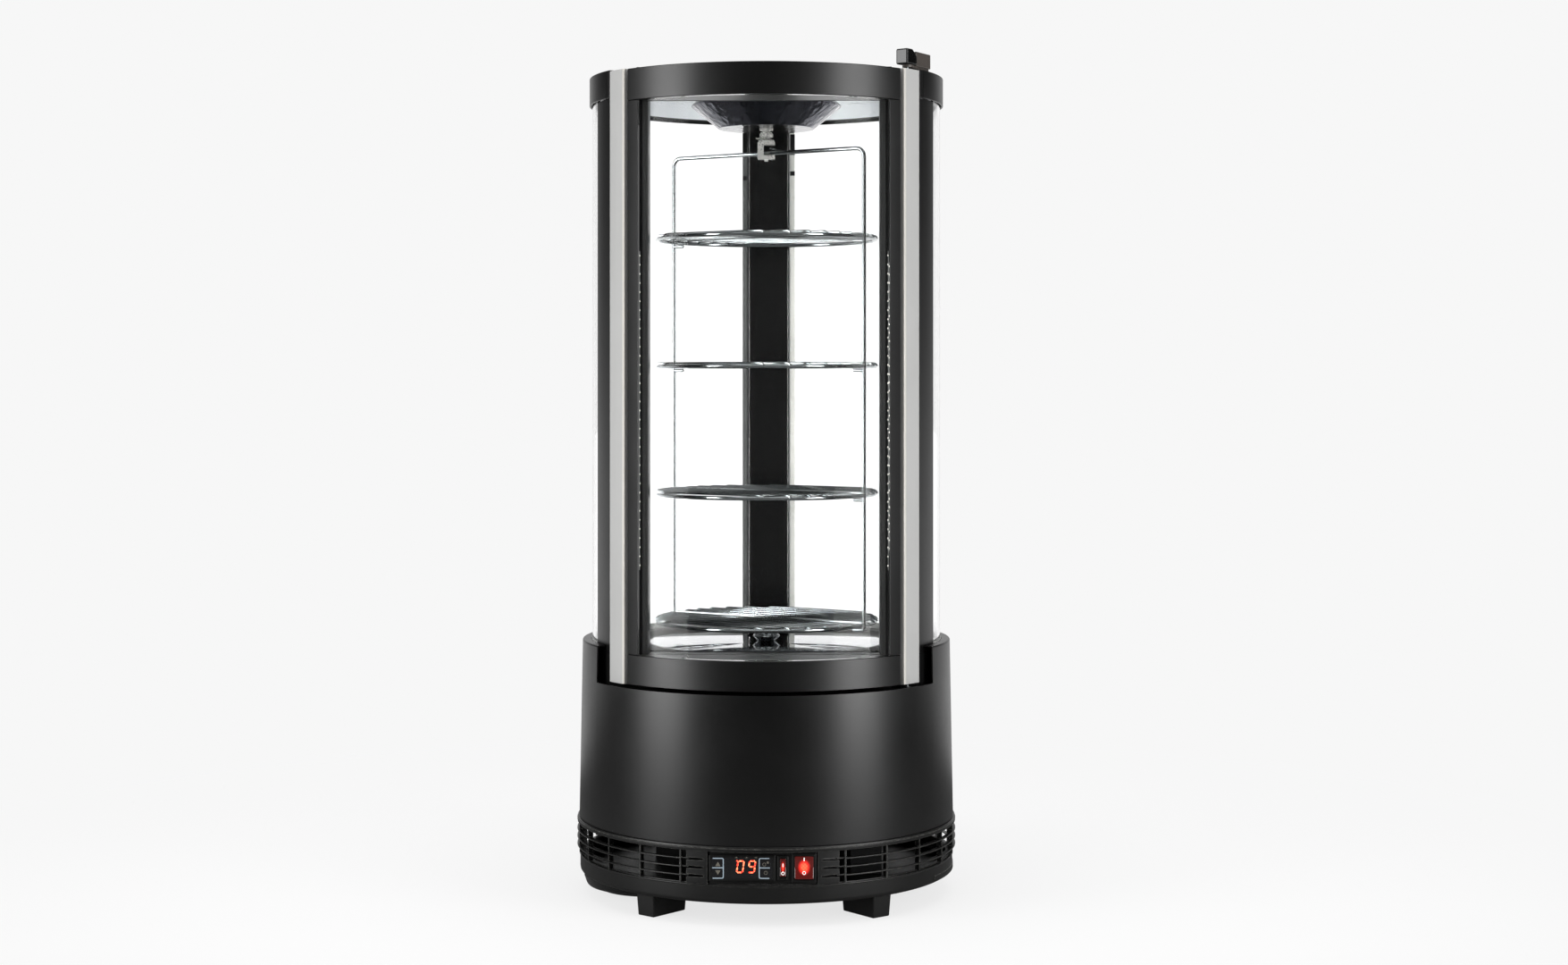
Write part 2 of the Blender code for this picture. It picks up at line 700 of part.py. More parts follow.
# Drip tray, a round stepped dish hung under the pan
TRAY_FLOOR = FOOT_HEIGHT - GAP - TRAY_DEPTH
tray_profile = [
    (0.0, TRAY_FLOOR),
    (TRAY_RADIUS - TRAY_SHOULDER, TRAY_FLOOR),
    (TRAY_RADIUS - TRAY_SHOULDER, TRAY_FLOOR + TRAY_STEP),
    (TRAY_RADIUS - TRAY_FLARE, TRAY_FLOOR + TRAY_SLOPE),
    (TRAY_RADIUS, FOOT_HEIGHT - GAP),
    (TRAY_RADIUS - TRAY_WALL, FOOT_HEIGHT - GAP),
    (TRAY_RADIUS - TRAY_FLARE - TRAY_WALL, TRAY_FLOOR + TRAY_SLOPE + TRAY_WALL),
    (TRAY_RADIUS - TRAY_SHOULDER - TRAY_WALL, TRAY_FLOOR + TRAY_WALL),
    (0.0, TRAY_FLOOR + TRAY_WALL),
]
tray_centre = around(TRAY_ANGLE, PAN_RADIUS - TRAY_INSET - TRAY_RADIUS)
turned("drip_tray", tray_profile, BLACK_PLASTIC, COARSE, centre=(tray_centre.x, tray_centre.y))

# Vent ring: a lip above and a band inside the pan, joined by ribs that carry the slats
BAND_RADIUS = (PAN_RADIUS - PAN_WALL) * ROUND - GAP
RIB_INNER = BASE_RADIUS - VENT_DEPTH + RIB_INSET
RIB_LOW = PAN_TOP + GAP
RIB_HIGH = LIP_BOTTOM + LIP_CHAMFER
RIB_PITCH = (360 - 2 * GAP_ANGLE) / (RIB_COUNT - 1)
SLAT_PITCH = (LIP_BOTTOM - PAN_TOP) / (SLAT_COUNT + 1)
SLAT_START = GAP_ANGLE - RIB_PITCH / 4
lip = [
    (BASE_RADIUS - VENT_DEPTH, LIP_BOTTOM),
    (BASE_RADIUS, LIP_BOTTOM),
    (BASE_RADIUS, VENT_TOP - LIP_CHAMFER),
    (BASE_RADIUS - LIP_CHAMFER, VENT_TOP),
    (BASE_RADIUS - VENT_DEPTH, VENT_TOP),
]
band = [
    (BAND_RADIUS - BAND_THICKNESS, PAN_TOP - BAND_DROP),
    (BAND_RADIUS, PAN_TOP - BAND_DROP),
    (BAND_RADIUS, PAN_TOP + BAND_RISE),
    (BAND_RADIUS - BAND_THICKNESS, PAN_TOP + BAND_RISE),
]
shape = bmesh.new()
for number in range(SLAT_COUNT):
    middle = PAN_TOP + SLAT_PITCH * (number + 1)
    slat = [
        (BASE_RADIUS - SLAT_DEPTH, middle),
        (BASE_RADIUS, middle - SLAT_THICKNESS / 2),
        (BASE_RADIUS, middle + SLAT_THICKNESS / 2),
    ]
    spun(shape, slat, SLAT_START, 360 - SLAT_START, 2 * RIB_COUNT - 1)
vent = from_bmesh("vent_ring", shape, BLACK_PLASTIC)
join(vent, turned("vent_lip", lip, BLACK_PLASTIC, FINE, helper=True))
join(vent, turned("vent_band", band, BLACK_PLASTIC, MEDIUM, helper=True))
ribs = bmesh.new()
rib_outer = BASE_RADIUS - SLAT_DEPTH / 2
rib_size = Matrix.Diagonal((RIB_THICKNESS, rib_outer - RIB_INNER, RIB_HIGH - RIB_LOW, 1.0))
for number in range(RIB_COUNT):
    angle = GAP_ANGLE + RIB_PITCH * number
    spot = Matrix.Translation(around(angle, (RIB_INNER + rib_outer) / 2, (RIB_LOW + RIB_HIGH) / 2))
    turn = Matrix.Rotation(radians(angle), 4, "Z")
    bmesh.ops.create_cube(ribs, size=1.0, matrix=spot @ turn @ rib_size)
cheek = [
    (RIB_INNER, RIB_LOW),
    (BASE_RADIUS - CHEEK_SET_BACK, RIB_LOW),
    (BASE_RADIUS - CHEEK_SET_BACK, RIB_HIGH),
    (RIB_INNER, RIB_HIGH),
]
for side in (1, -1):
    spun(ribs, cheek, side * BAY_ANGLE, side * CHEEK_ANGLE, 2)
join(vent, from_bmesh("vent_ribs", ribs, BLACK_PLASTIC, helper=True, smooth=False))

# Tapered grooves that carry the lines of the slats on over both cheeks, widest at the slats' ends
groove_start, groove_end = BAY_ANGLE + GROOVE_LAND, GAP_ANGLE - GROOVE_CLEAR
groove_length = BASE_RADIUS * radians(groove_end - groove_start)
groove_inner = BASE_RADIUS - CHEEK_SET_BACK - GROOVE_DEPTH
groove_reach = BASE_RADIUS + SLAT_DEPTH - groove_inner
grooves = bmesh.new()
for side in (1, -1):
    turn = side * (groove_start + groove_end) / 2
    for number in range(SLAT_COUNT):
        size = Matrix.Diagonal((groove_length, groove_reach, GROOVE_WIDE, 1.0))
        groove = bmesh.ops.create_cube(grooves, size=1.0, matrix=size)["verts"]
        for corner in groove:
            if corner.co.x * side < 0:
                corner.co.z *= GROOVE_NARROW / GROOVE_WIDE
        spot = around(turn, groove_inner + groove_reach / 2, PAN_TOP + SLAT_PITCH * (number + 1))
        where = Matrix.Translation(spot) @ Matrix.Rotation(radians(turn), 4, "Z")
        bmesh.ops.transform(grooves, matrix=where, verts=groove)
cut(vent, from_bmesh("cheek_grooves", grooves, BLACK_PLASTIC, helper=True, smooth=False))

# Skirt, one slightly tapered sheet with an inward rim and a notch for the door
skirt_profile = [
    (SKIRT_BOTTOM_RADIUS - SKIRT_WALL, SKIRT_BOTTOM),
    (SKIRT_BOTTOM_RADIUS, SKIRT_BOTTOM),
    (SKIRT_TOP_RADIUS, SKIRT_TOP - SKIRT_RIM / 2),
    (SKIRT_TOP_RADIUS - SKIRT_RIM / 2, SKIRT_TOP),
    (PLUG_RADIUS + GAP, SKIRT_TOP),
    (PLUG_RADIUS + GAP, SKIRT_TOP - SKIRT_RIM),
    (SKIRT_TOP_RADIUS - SKIRT_WALL, SKIRT_TOP - SKIRT_RIM),
]
skirt = turned("skirt", skirt_profile, BLACK_PAINT, FINE)
notch_profile = [
    (PLUG_RADIUS - PAST, NOTCH_BOTTOM),
    (SKIRT_BOTTOM_RADIUS + PAST, NOTCH_BOTTOM),
    (SKIRT_BOTTOM_RADIUS + PAST, SKIRT_TOP + PAST),
    (PLUG_RADIUS - PAST, SKIRT_TOP + PAST),
]
cut(skirt, sector("skirt_notch", notch_profile, -NOTCH_ANGLE, NOTCH_ANGLE, BLACK_PAINT, MEDIUM, helper=True))

# Flat control panel in the bay of the vent ring
panel = span_box(
    "control_panel",
    (-BAY_HALF, -PANEL_FRONT, PAN_TOP + BAND_RISE + GAP),
    (BAY_HALF, -PANEL_FRONT + PANEL_WALL, LIP_BOTTOM - GAP),
    BLACK_PLASTIC,
)


def panel_hole(name, x, width, height):
    low = (x - width / 2 - GAP, -PANEL_FRONT - PAST, CONTROL_Z - height / 2 - GAP)
    high = (x + width / 2 + GAP, -PANEL_FRONT + PAST, CONTROL_Z + height / 2 + GAP)
    cut(panel, span_box(name, low, high, BLACK_PLASTIC, helper=True))


def panel_body(name, x, size, proud, flange, surface):
    """A snap-in body: a bezel in front of the panel and a narrower box through it."""
    width, depth, height = size
    front = -PANEL_FRONT - proud
    made = span_box(
        name,
        (x - width / 2, front, CONTROL_Z - height / 2),
        (x + width / 2, -PANEL_FRONT - GAP, CONTROL_Z + height / 2),
        surface,
    )
    body = span_box(
        name + "_body",
        (x - width / 2 + flange, -PANEL_FRONT - proud / 2, CONTROL_Z - height / 2 + flange),
        (x + width / 2 - flange, front + depth, CONTROL_Z + height / 2 - flange),
        surface,
        helper=True,
    )
    join(made, body)
    panel_hole(name + "_hole", x, width - 2 * flange, height - 2 * flange)
    return made


panel_body("controller", CONTROLLER_X, CONTROLLER_SIZE, CONTROLLER_PROUD, CONTROLLER_FLANGE, GLOSS_BLACK)


def rocker_switch(prefix, x, bezel, rocker):
    """A switch body with a pocket, and the rocker that tips in it, its upper half pressed."""
    housing = panel_body(prefix + "_switch_housing", x, bezel, BEZEL_PROUD, BEZEL_FLANGE, BLACK_PLASTIC)
    width, height = rocker
    half = height / 2
    tilt = radians(ROCKER_TILT)
    front = ROCKER_RISE + half * sin(tilt) / 2
    back_half = half * ROCKER_BACK_SHARE
    axis_y = -PANEL_FRONT - BEZEL_PROUD + ROCKER_AXIS_DEPTH
    reach = half * cos(tilt) + front * sin(tilt) + GAP
    deep = ROCKER_DEPTH * cos(tilt) + back_half * sin(tilt) + GAP
    pocket_low = (x - width / 2 - GAP, -PANEL_FRONT - PAST, CONTROL_Z - reach)
    pocket_high = (x + width / 2 + GAP, axis_y + deep, CONTROL_Z + reach)
    cut(housing, span_box(prefix + "_pocket", pocket_low, pocket_high, RED_LENS, helper=True))
    outline = [
        (-half, -front),
        (0.0, -front + half * sin(tilt)),
        (half, -front),
        (back_half, ROCKER_DEPTH),
        (-back_half, ROCKER_DEPTH),
    ]
    made = plate(prefix + "_rocker", [outline], -width / 2, width / 2, RED_LENS)
    axis = Matrix.Translation((x, axis_y, CONTROL_Z)) @ Matrix.Rotation(radians(-90), 4, "Y")
    made.matrix_world = axis @ Matrix.Rotation(tilt, 4, "Z")


rocker_switch("light", SMALL_SWITCH_X, SMALL_BEZEL, SMALL_ROCKER)
rocker_switch("power", LARGE_SWITCH_X, LARGE_BEZEL, LARGE_ROCKER)

# Insulated floor: a sill flange inside the skirt, a plug up to the floor and a tub for the evaporator
sill_radius = (skirt_radius(SILL_TOP) - SKIRT_WALL) * ROUND - GAP
TUB_BOTTOM = SILL_TOP - SILL_THICKNESS - TUB_DEPTH
floor_profile = [
    (0.0, TUB_BOTTOM),
    (TUB_RADIUS, TUB_BOTTOM),
    (TUB_RADIUS, SILL_TOP - SILL_THICKNESS),
    (sill_radius, SILL_TOP - SILL_THICKNESS),
    (sill_radius, SILL_TOP),
    (PLUG_RADIUS, SILL_TOP),
    (PLUG_RADIUS, FLOOR_TOP),
    (TUB_RADIUS - TUB_WALL, FLOOR_TOP),
    (TUB_RADIUS - TUB_WALL, TUB_BOTTOM + TUB_WALL),
    (0.0, TUB_BOTTOM + TUB_WALL),
]
floor = turned("insulated_floor", floor_profile, FOAM_CORE, MEDIUM)
front_cut = span_box(
    "floor_front_cut",
    (-FAR, -FAR, SILL_TOP),
    (FAR, -FRONT_PLANE, SKIRT_TOP),
    FOAM_CORE,
    helper=True,
)
cut(floor, front_cut)

# Floor of the cabin: a dark ring round a polished disc with a faceted boss
ring_bottom = FLOOR_TOP + GAP
ring_top = ring_bottom + FLOOR_RING_HEIGHT
ring_profile = [
    (DISC_RADIUS + GAP, ring_bottom),
    (FLOOR_RING_RADIUS, ring_bottom),
    (FLOOR_RING_RADIUS, ring_top),
    (FLOOR_RING_RADIUS - FLOOR_RING_RIM, ring_top),
    (FLOOR_RING_RADIUS - FLOOR_RING_RIM - FLOOR_RING_DIP, ring_top - FLOOR_RING_DIP),
    (DISC_RADIUS + GAP, ring_top - FLOOR_RING_DIP),
]
floor_ring = cut(turned("floor_ring", ring_profile, BLACK_PLASTIC, MEDIUM), front_cut)
post_back = around(POST_ANGLE_FRONT, POST_INNER_RADIUS).y + GAP
for side, label in ((1, "right"), (-1, "left")):
    inner, outer = sorted((side * FRAME_HALF_WIDTH, side * FAR))
    low, high = (inner, -FAR, SILL_TOP), (outer, post_back, SKIRT_TOP + PAST)
    cut(floor_ring, span_box(f"floor_corner_{label}", low, high, BLACK_PLASTIC, helper=True))
disc_profile = [
    (0.0, ring_bottom),
    (DISC_RADIUS, ring_bottom),
    (DISC_RADIUS, ring_bottom + DISC_THICKNESS),
    (0.0, ring_bottom + DISC_THICKNESS),
]
cut(turned("floor_disc", disc_profile, POLISHED, MEDIUM), front_cut)
boss_bottom = ring_bottom + DISC_THICKNESS + GAP
boss_profile = [
    (0.0, boss_bottom),
    (BOSS_RADIUS * 0.62, boss_bottom),
    (BOSS_RADIUS, boss_bottom + BOSS_HEIGHT * 0.45),
    (BOSS_RADIUS * 0.85, boss_bottom + BOSS_HEIGHT * 0.72),
    (BOSS_RADIUS * 0.35, boss_bottom + BOSS_HEIGHT),
    (0.0, boss_bottom + BOSS_HEIGHT),
]
turned("pivot_boss", boss_profile, CHROME, BOSS_SIDES)

# Posts beside the door, each hollowed round the pivot of the door
relief_x = FRAME_HALF_WIDTH + GAP - PIVOT.x
relief_y = sqrt(PIVOT_RELIEF**2 - relief_x**2)
front_corner = around(POST_ANGLE_FRONT, GLASS_RADIUS) - PIVOT
front_turn = degrees(front_corner.xy.angle_signed(Vector((1.0, 0.0))))
back_turn = 180 - degrees(asin(relief_y / PIVOT_RELIEF))
post_loop = (
    case_arc(GLASS_RADIUS, POST_ANGLE_BACK, POST_ANGLE_FRONT, 4)
    + arc((PIVOT.x, PIVOT.y), PIVOT_RELIEF, front_turn, back_turn, 8)
    + [(FRAME_HALF_WIDTH + GAP, -FRONT_PLANE)]
    + case_arc(POST_INNER_RADIUS, POST_ANGLE_FRONT, POST_ANGLE_BACK, 4)
)
post_low, post_high = FLOOR_TOP + GAP, RING_BOTTOM - GAP
plate("post_right", [post_loop], post_low, post_high, BLACK_PAINT)
plate("post_left", [mirrored(post_loop)], post_low, post_high, BLACK_PAINT)

# Glass: an outer and an inner curved pane that stand in one channel
glass_start = POST_ANGLE_BACK + degrees(GAP / GLASS_RADIUS)
glass_end = 360 - glass_start


def pane(name, radius, start, end, low, high, steps=MEDIUM):
    back = radius - GLASS_THICKNESS
    section = [(back, low), (radius, low), (radius, high), (back, high)]
    return sector(name, section, start, end, GLASS, steps)


channel_bottom = FLOOR_TOP + GAP
pane_bottom = channel_bottom + CHANNEL_BASE + GAP
pane_top = RING_BOTTOM + LEDGE_HEIGHT - GAP
pane("glass_outer", GLASS_RADIUS, glass_start, glass_end, pane_bottom, pane_top, FINE)
pane("glass_inner", INNER_GLASS_RADIUS, glass_start, glass_end, pane_bottom, pane_top, FINE)
channel_inner = (FLOOR_RING_RADIUS + GAP) / ROUND
channel_profile = [
    (channel_inner, channel_bottom),
    (PLUG_RADIUS - GAP, channel_bottom),
    (PLUG_RADIUS - GAP, channel_bottom + CHANNEL_HEIGHT),
    (GLASS_RADIUS + GAP, channel_bottom + CHANNEL_HEIGHT),
    (GLASS_RADIUS + GAP, channel_bottom + CHANNEL_BASE),
    (INNER_GLASS_RADIUS - GLASS_THICKNESS - GAP, channel_bottom + CHANNEL_BASE),
    (INNER_GLASS_RADIUS - GLASS_THICKNESS - GAP, channel_bottom + CHANNEL_HEIGHT),
    (channel_inner, channel_bottom + CHANNEL_HEIGHT),
]
sector("glass_channel", channel_profile, glass_start, glass_end, SATIN_ALUMINIUM, FINE)

# Front frame, a flat picture frame from the sill to the lid
frame_low = SILL_TOP + GAP
frame_high = LID_BOTTOM - GAP
frame = span_box(
    "front_frame",
    (-FRAME_HALF_WIDTH, -FRAME_FRONT, frame_low),
    (FRAME_HALF_WIDTH, -FRONT_PLANE - GAP, frame_high),
    BLACK_PAINT,
)
window = span_box(
    "frame_window",
    (-FRAME_OPENING, -FRAME_FRONT - PAST, frame_low + FRAME_SILL),
    (FRAME_OPENING, -FRONT_PLANE + PAST, frame_high - FRAME_HEAD),
    BLACK_PAINT,
    helper=True,
)
cut(frame, window)

# Top ring round the sides and the back, with a ledge over the glass
ledge_z = RING_BOTTOM + LEDGE_HEIGHT
ledge_top = ledge_z + LEDGE_THICKNESS
ring_inner = (CEILING_RADIUS + GAP) / ROUND
ring_section = [
    (RING_RADIUS, RING_BOTTOM),
    (RING_RADIUS, CASE_TOP),
    (RING_RADIUS - RING_WALL, CASE_TOP),
    (RING_RADIUS - RING_WALL, ledge_top),
    (ring_inner, ledge_top),
    (ring_inner, ledge_z),
    (RING_RADIUS - RING_WALL, ledge_z),
    (RING_RADIUS - RING_WALL, RING_BOTTOM),
]
top_ring = sector("top_ring", ring_section, RING_ANGLE, 360 - RING_ANGLE, BLACK_PAINT, FINE)
corner_angle = RING_ANGLE + RING_CORNER_LAP
corner_loop = (
    case_arc(RING_RADIUS, corner_angle, POST_ANGLE_FRONT, 2)
    + arc((PIVOT.x, PIVOT.y), PIVOT_RELIEF, front_turn, back_turn, 6)
    + [(FRAME_HALF_WIDTH + GAP, -FRONT_PLANE)]
    + case_arc(POST_INNER_RADIUS, POST_ANGLE_FRONT, corner_angle, 2)
)
for label, loop in (("right", corner_loop), ("left", mirrored(corner_loop))):
    join(top_ring, plate(f"ring_corner_{label}", [loop], RING_BOTTOM, CASE_TOP, BLACK_PAINT, helper=True))

# Lid, a shallow dish inside the ring, cut straight over the door and stepped round its pivots
lid_radius = (RING_RADIUS - RING_WALL) * ROUND - GAP
lid_profile = [
    (0.0, LID_BOTTOM),
    (lid_radius - LID_THICKNESS, LID_BOTTOM),
    (lid_radius - LID_THICKNESS, ledge_top + GAP),
    (lid_radius, ledge_top + GAP),
    (lid_radius, CASE_TOP),
    (0.0, CASE_TOP),
]
lid = turned("top_lid", lid_profile, BLACK_PAINT, FINE)
lid_front = span_box(
    "lid_front_cut",
    (-FAR, -FAR, RING_BOTTOM - PAST),
    (FAR, -FRAME_FRONT, CASE_TOP + PAST),
    BLACK_PAINT,
    helper=True,
)
cut(lid, lid_front)
corner_back = around(corner_angle, POST_INNER_RADIUS).y + GAP
lid_corners = []
for side, label in ((1, "right"), (-1, "left")):
    inner, outer = sorted((side * FRAME_HALF_WIDTH, side * FAR))
    low = (inner, -FAR, RING_BOTTOM - PAST)
    high = (outer, corner_back, CASE_TOP + PAST)
    lid_corners.append(span_box(f"lid_corner_{label}", low, high, BLACK_PAINT, helper=True))
    cut(lid, lid_corners[-1])

# Ceiling, a pale tray turned down at its rim
ceiling_top = CEILING_BOTTOM + CEILING_THICKNESS
ceiling_low = RING_BOTTOM + CEILING_SKIRT
ceiling_profile = [
    (0.0, CEILING_BOTTOM),
    (CEILING_RADIUS - CEILING_WALL, CEILING_BOTTOM),
    (CEILING_RADIUS - CEILING_WALL, ceiling_low),
    (CEILING_RADIUS, ceiling_low),
    (CEILING_RADIUS, ceiling_top),
    (0.0, ceiling_top),
]
ceiling = turned("ceiling", ceiling_profile, WHITE_ENAMEL, MEDIUM)
ceiling_front = span_box(
    "ceiling_front_cut",
    (-FAR, -FAR, RING_BOTTOM - PAST),
    (FAR, -FRONT_PLANE, CASE_TOP + PAST),
    WHITE_ENAMEL,
    helper=True,
)
cut(ceiling, ceiling_front)
for corner in lid_corners:
    cut(ceiling, corner)

# Polished dome under the ceiling, and the gear motor inside it
DOME_WIDEST = DOME_TOP - NECK_HEIGHT - DOME_TAPER
dome_profile = [
    (DOME_TOP_RADIUS, DOME_TOP),
    (DOME_TOP_RADIUS, DOME_TOP - NECK_HEIGHT),
    (DOME_WIDE_RADIUS, DOME_WIDEST),
    (DOME_BOTTOM_RADIUS, DOME_BOTTOM),
    (DOME_BORE, DOME_BOTTOM),
    (DOME_BORE, DOME_BOTTOM + DOME_WALL),
    (DOME_BOTTOM_RADIUS - DOME_WALL, DOME_BOTTOM + DOME_WALL),
    (DOME_WIDE_RADIUS - 1.5 * DOME_WALL, DOME_WIDEST),
    (DOME_TOP_RADIUS - DOME_WALL, DOME_TOP - NECK_HEIGHT),
    (DOME_TOP_RADIUS - DOME_WALL, DOME_TOP),
]
turned("motor_dome", dome_profile, POLISHED, 2 * SMALL)
shaft_end = STACK_TOP + GAP
motor_profile = [
    (0.0, shaft_end),
    (SHAFT_RADIUS, shaft_end),
    (SHAFT_RADIUS, shaft_end + SHAFT_LENGTH),
    (MOTOR_RADIUS, shaft_end + SHAFT_LENGTH),
    (MOTOR_RADIUS, DOME_TOP),
    (0.0, DOME_TOP),
]
turned("gear_motor", motor_profile, FIN_METAL, SMALL)

# Air column at the back of the cabin, with a pale strip down each side
column_low = FLOOR_TOP + GAP + FLOOR_RING_HEIGHT + GAP
column_high = CEILING_BOTTOM - GAP
span_box(
    "air_column",
    (-COLUMN_HALF_WIDTH, COLUMN_FRONT, column_low),
    (COLUMN_HALF_WIDTH, COLUMN_BACK, column_high),
    GLOSS_BLACK,
    bevel=COLUMN_EDGE,
)
for side, label in ((1, "right"), (-1, "left")):
    near = COLUMN_HALF_WIDTH + GAP
    inner, outer = sorted((side * near, side * (near + STRIP_WIDTH)))
    low = (inner, COLUMN_FRONT + STRIP_SET_BACK, column_low)
    high = (outer, COLUMN_FRONT + STRIP_SET_BACK + STRIP_DEPTH, column_high)
    span_box(f"column_strip_{label}", low, high, DIFFUSER)

# Door rails, each a solid with a curved front and a flat back
rail_loop = case_arc(DOOR_RADIUS, -DOOR_ANGLE, DOOR_ANGLE, 18)
rail_loop += [(rail_half, -DOOR_BACK), (-rail_half, -DOOR_BACK)]
door = [
    plate("door_top_rail", [rail_loop], DOOR_OPENING_TOP + GAP, DOOR_TOP, BLACK_PAINT),
    plate("door_bottom_rail", [rail_loop], DOOR_BOTTOM, DOOR_OPENING_BOTTOM - GAP, BLACK_PAINT),
]

# Door stiles, with a tongue behind that reaches the bright side profile
stile_angle = degrees(asin(STILE_INNER / DOOR_RADIUS))
tongue_angle = TRIM_ANGLE_INNER - degrees(GAP / TRIM_RADIUS)
tongue_outer = around(tongue_angle, TRIM_RADIUS - TONGUE_SET_BACK)
tongue_inner = around(tongue_angle, TRIM_RADIUS - TONGUE_SET_BACK - TONGUE_DEPTH)
stile_loop = case_arc(DOOR_RADIUS, stile_angle, DOOR_ANGLE, 3) + [
    (rail_half, -DOOR_BACK),
    (tongue_outer.x, tongue_outer.y),
    (tongue_inner.x, tongue_inner.y),
    (rail_half - TONGUE_DEPTH * 1.4, -DOOR_BACK),
    (STILE_INNER, -DOOR_BACK),
]
for label, loop in (("right", stile_loop), ("left", mirrored(stile_loop))):
    door.append(plate(f"door_stile_{label}", [loop], DOOR_OPENING_BOTTOM, DOOR_OPENING_TOP, BLACK_PAINT))
door_glass_angle = degrees(asin((STILE_INNER - GAP) / DOOR_GLASS_RADIUS))
door.append(
    pane(
        "door_glass",
        DOOR_GLASS_RADIUS,
        -door_glass_angle,
        door_glass_angle,
        DOOR_OPENING_BOTTOM,
        DOOR_OPENING_TOP,
        FINE,
    )
)

# Bright side profiles of the door, extruded with a round port that takes the hinge pins
port = arc((PIVOT.x, PIVOT.y), PIVOT_PIN_RADIUS + GAP, 0, 330, 11)
trim_loop = case_arc(TRIM_RADIUS, TRIM_ANGLE_INNER, TRIM_ANGLE_OUTER, 2)
trim_loop += case_arc(TRIM_RADIUS - TRIM_DEPTH, TRIM_ANGLE_OUTER, TRIM_ANGLE_INNER, 2)
trim_high = DOOR_TOP + TRIM_PROUD
door.append(plate("door_trim_right", [trim_loop, port], DOOR_BOTTOM, trim_high, SATIN_ALUMINIUM))
door.append(plate("door_trim_left", [mirrored(trim_loop)], DOOR_BOTTOM, trim_high, SATIN_ALUMINIUM))

# Door gasket, a flat rubber frame behind the door
gasket_low = DOOR_OPENING_BOTTOM - GASKET_OVERLAP
gasket_high = DOOR_OPENING_TOP + GASKET_OVERLAP
gasket = span_box(
    "door_gasket",
    (-GASKET_OUTER, -DOOR_BACK + GAP, gasket_low),
    (GASKET_OUTER, -FRAME_FRONT - GAP, gasket_high),
    RUBBER,
)
cut(
    gasket,
    span_box(
        "gasket_window",
        (-GASKET_INNER, -DOOR_BACK - PAST, gasket_low + GASKET_WIDTH),
        (GASKET_INNER, -FRAME_FRONT + PAST, gasket_high - GASKET_WIDTH),
        RUBBER,
        helper=True,
    ),
)
door.append(gasket)

# Light strips on the inner sides of the stiles
led_low = DOOR_OPENING_BOTTOM + LED_RISE
for side, label in ((1, "right"), (-1, "left")):
    inner, outer = sorted((side * (STILE_INNER - GAP), side * (STILE_INNER - GAP - LED_WIDTH)))
    back = -DOOR_BACK - LED_SET_BACK
    low = (inner, back - LED_DEPTH, led_low)
    high = (outer, back, led_low + LED_LENGTH)
    door.append(span_box(f"led_strip_{label}", low, high, DIFFUSER))
hang(pivot_at("door_pivot", (PIVOT.x, PIVOT.y, DOOR_BOTTOM)), door)

# Upper hinge: a plate on the lid with a pin down into the door, a block and a moulded cap
plate_low = CASE_TOP + GAP
plate_high = plate_low + BRACKET_THICKNESS
block_spot = around(HINGE_BLOCK_ANGLE, HINGE_BLOCK_RADIUS)
bracket_loop = arc((PIVOT.x, PIVOT.y), BRACKET_NOSE, -130, 20, 6)
for turn, inwards in BRACKET_CORNERS:
    corner = around(HINGE_BLOCK_ANGLE + turn, HINGE_BLOCK_RADIUS - inwards)
    bracket_loop.append((corner.x, corner.y))
bracket = plate("hinge_bracket_upper", [bracket_loop], plate_low, plate_high, BLACK_PAINT)
pin_low = (PIVOT.x, PIVOT.y, trim_high - PIN_REACH)
pin_high = (PIVOT.x, PIVOT.y, plate_high - BRACKET_THICKNESS / 3)
join(bracket, rod("upper_pin", PIVOT_PIN_RADIUS, pin_low, pin_high, CHROME, helper=True))
block_z = plate_high - BRACKET_THICKNESS / 3 + HINGE_BLOCK_HEIGHT / 2
block_centre = (block_spot.x, block_spot.y, block_z)
block_size = (HINGE_BLOCK_LENGTH, HINGE_BLOCK_DEPTH, HINGE_BLOCK_HEIGHT)
join(bracket, box("hinge_block", block_size, block_centre, BLACK_PAINT, True, HINGE_BLOCK_ANGLE))
cap_half = HINGE_CAP_LENGTH / 2
cap_loop = [
    (-cap_half, 0.0),
    (cap_half, 0.0),
    (cap_half, HINGE_CAP_HEIGHT - HINGE_CAP_SLOPE),
    (cap_half - HINGE_CAP_SLOPE, HINGE_CAP_HEIGHT),
    (-cap_half, HINGE_CAP_HEIGHT),
]
cap = plate("hinge_cap", [cap_loop], -HINGE_CAP_DEPTH / 2, HINGE_CAP_DEPTH / 2, GLOSS_BLACK)
cap_turn = Matrix.Rotation(radians(PIVOT_ANGLE), 4, "Z") @ Matrix.Rotation(radians(90), 4, "X")
cap.matrix_world = Matrix.Translation((PIVOT.x, PIVOT.y, plate_high + GAP)) @ cap_turn
rounding = cap.modifiers.new("rounded_edges", "BEVEL")
rounding.width = HINGE_CAP_EDGE
rounding.segments = 1

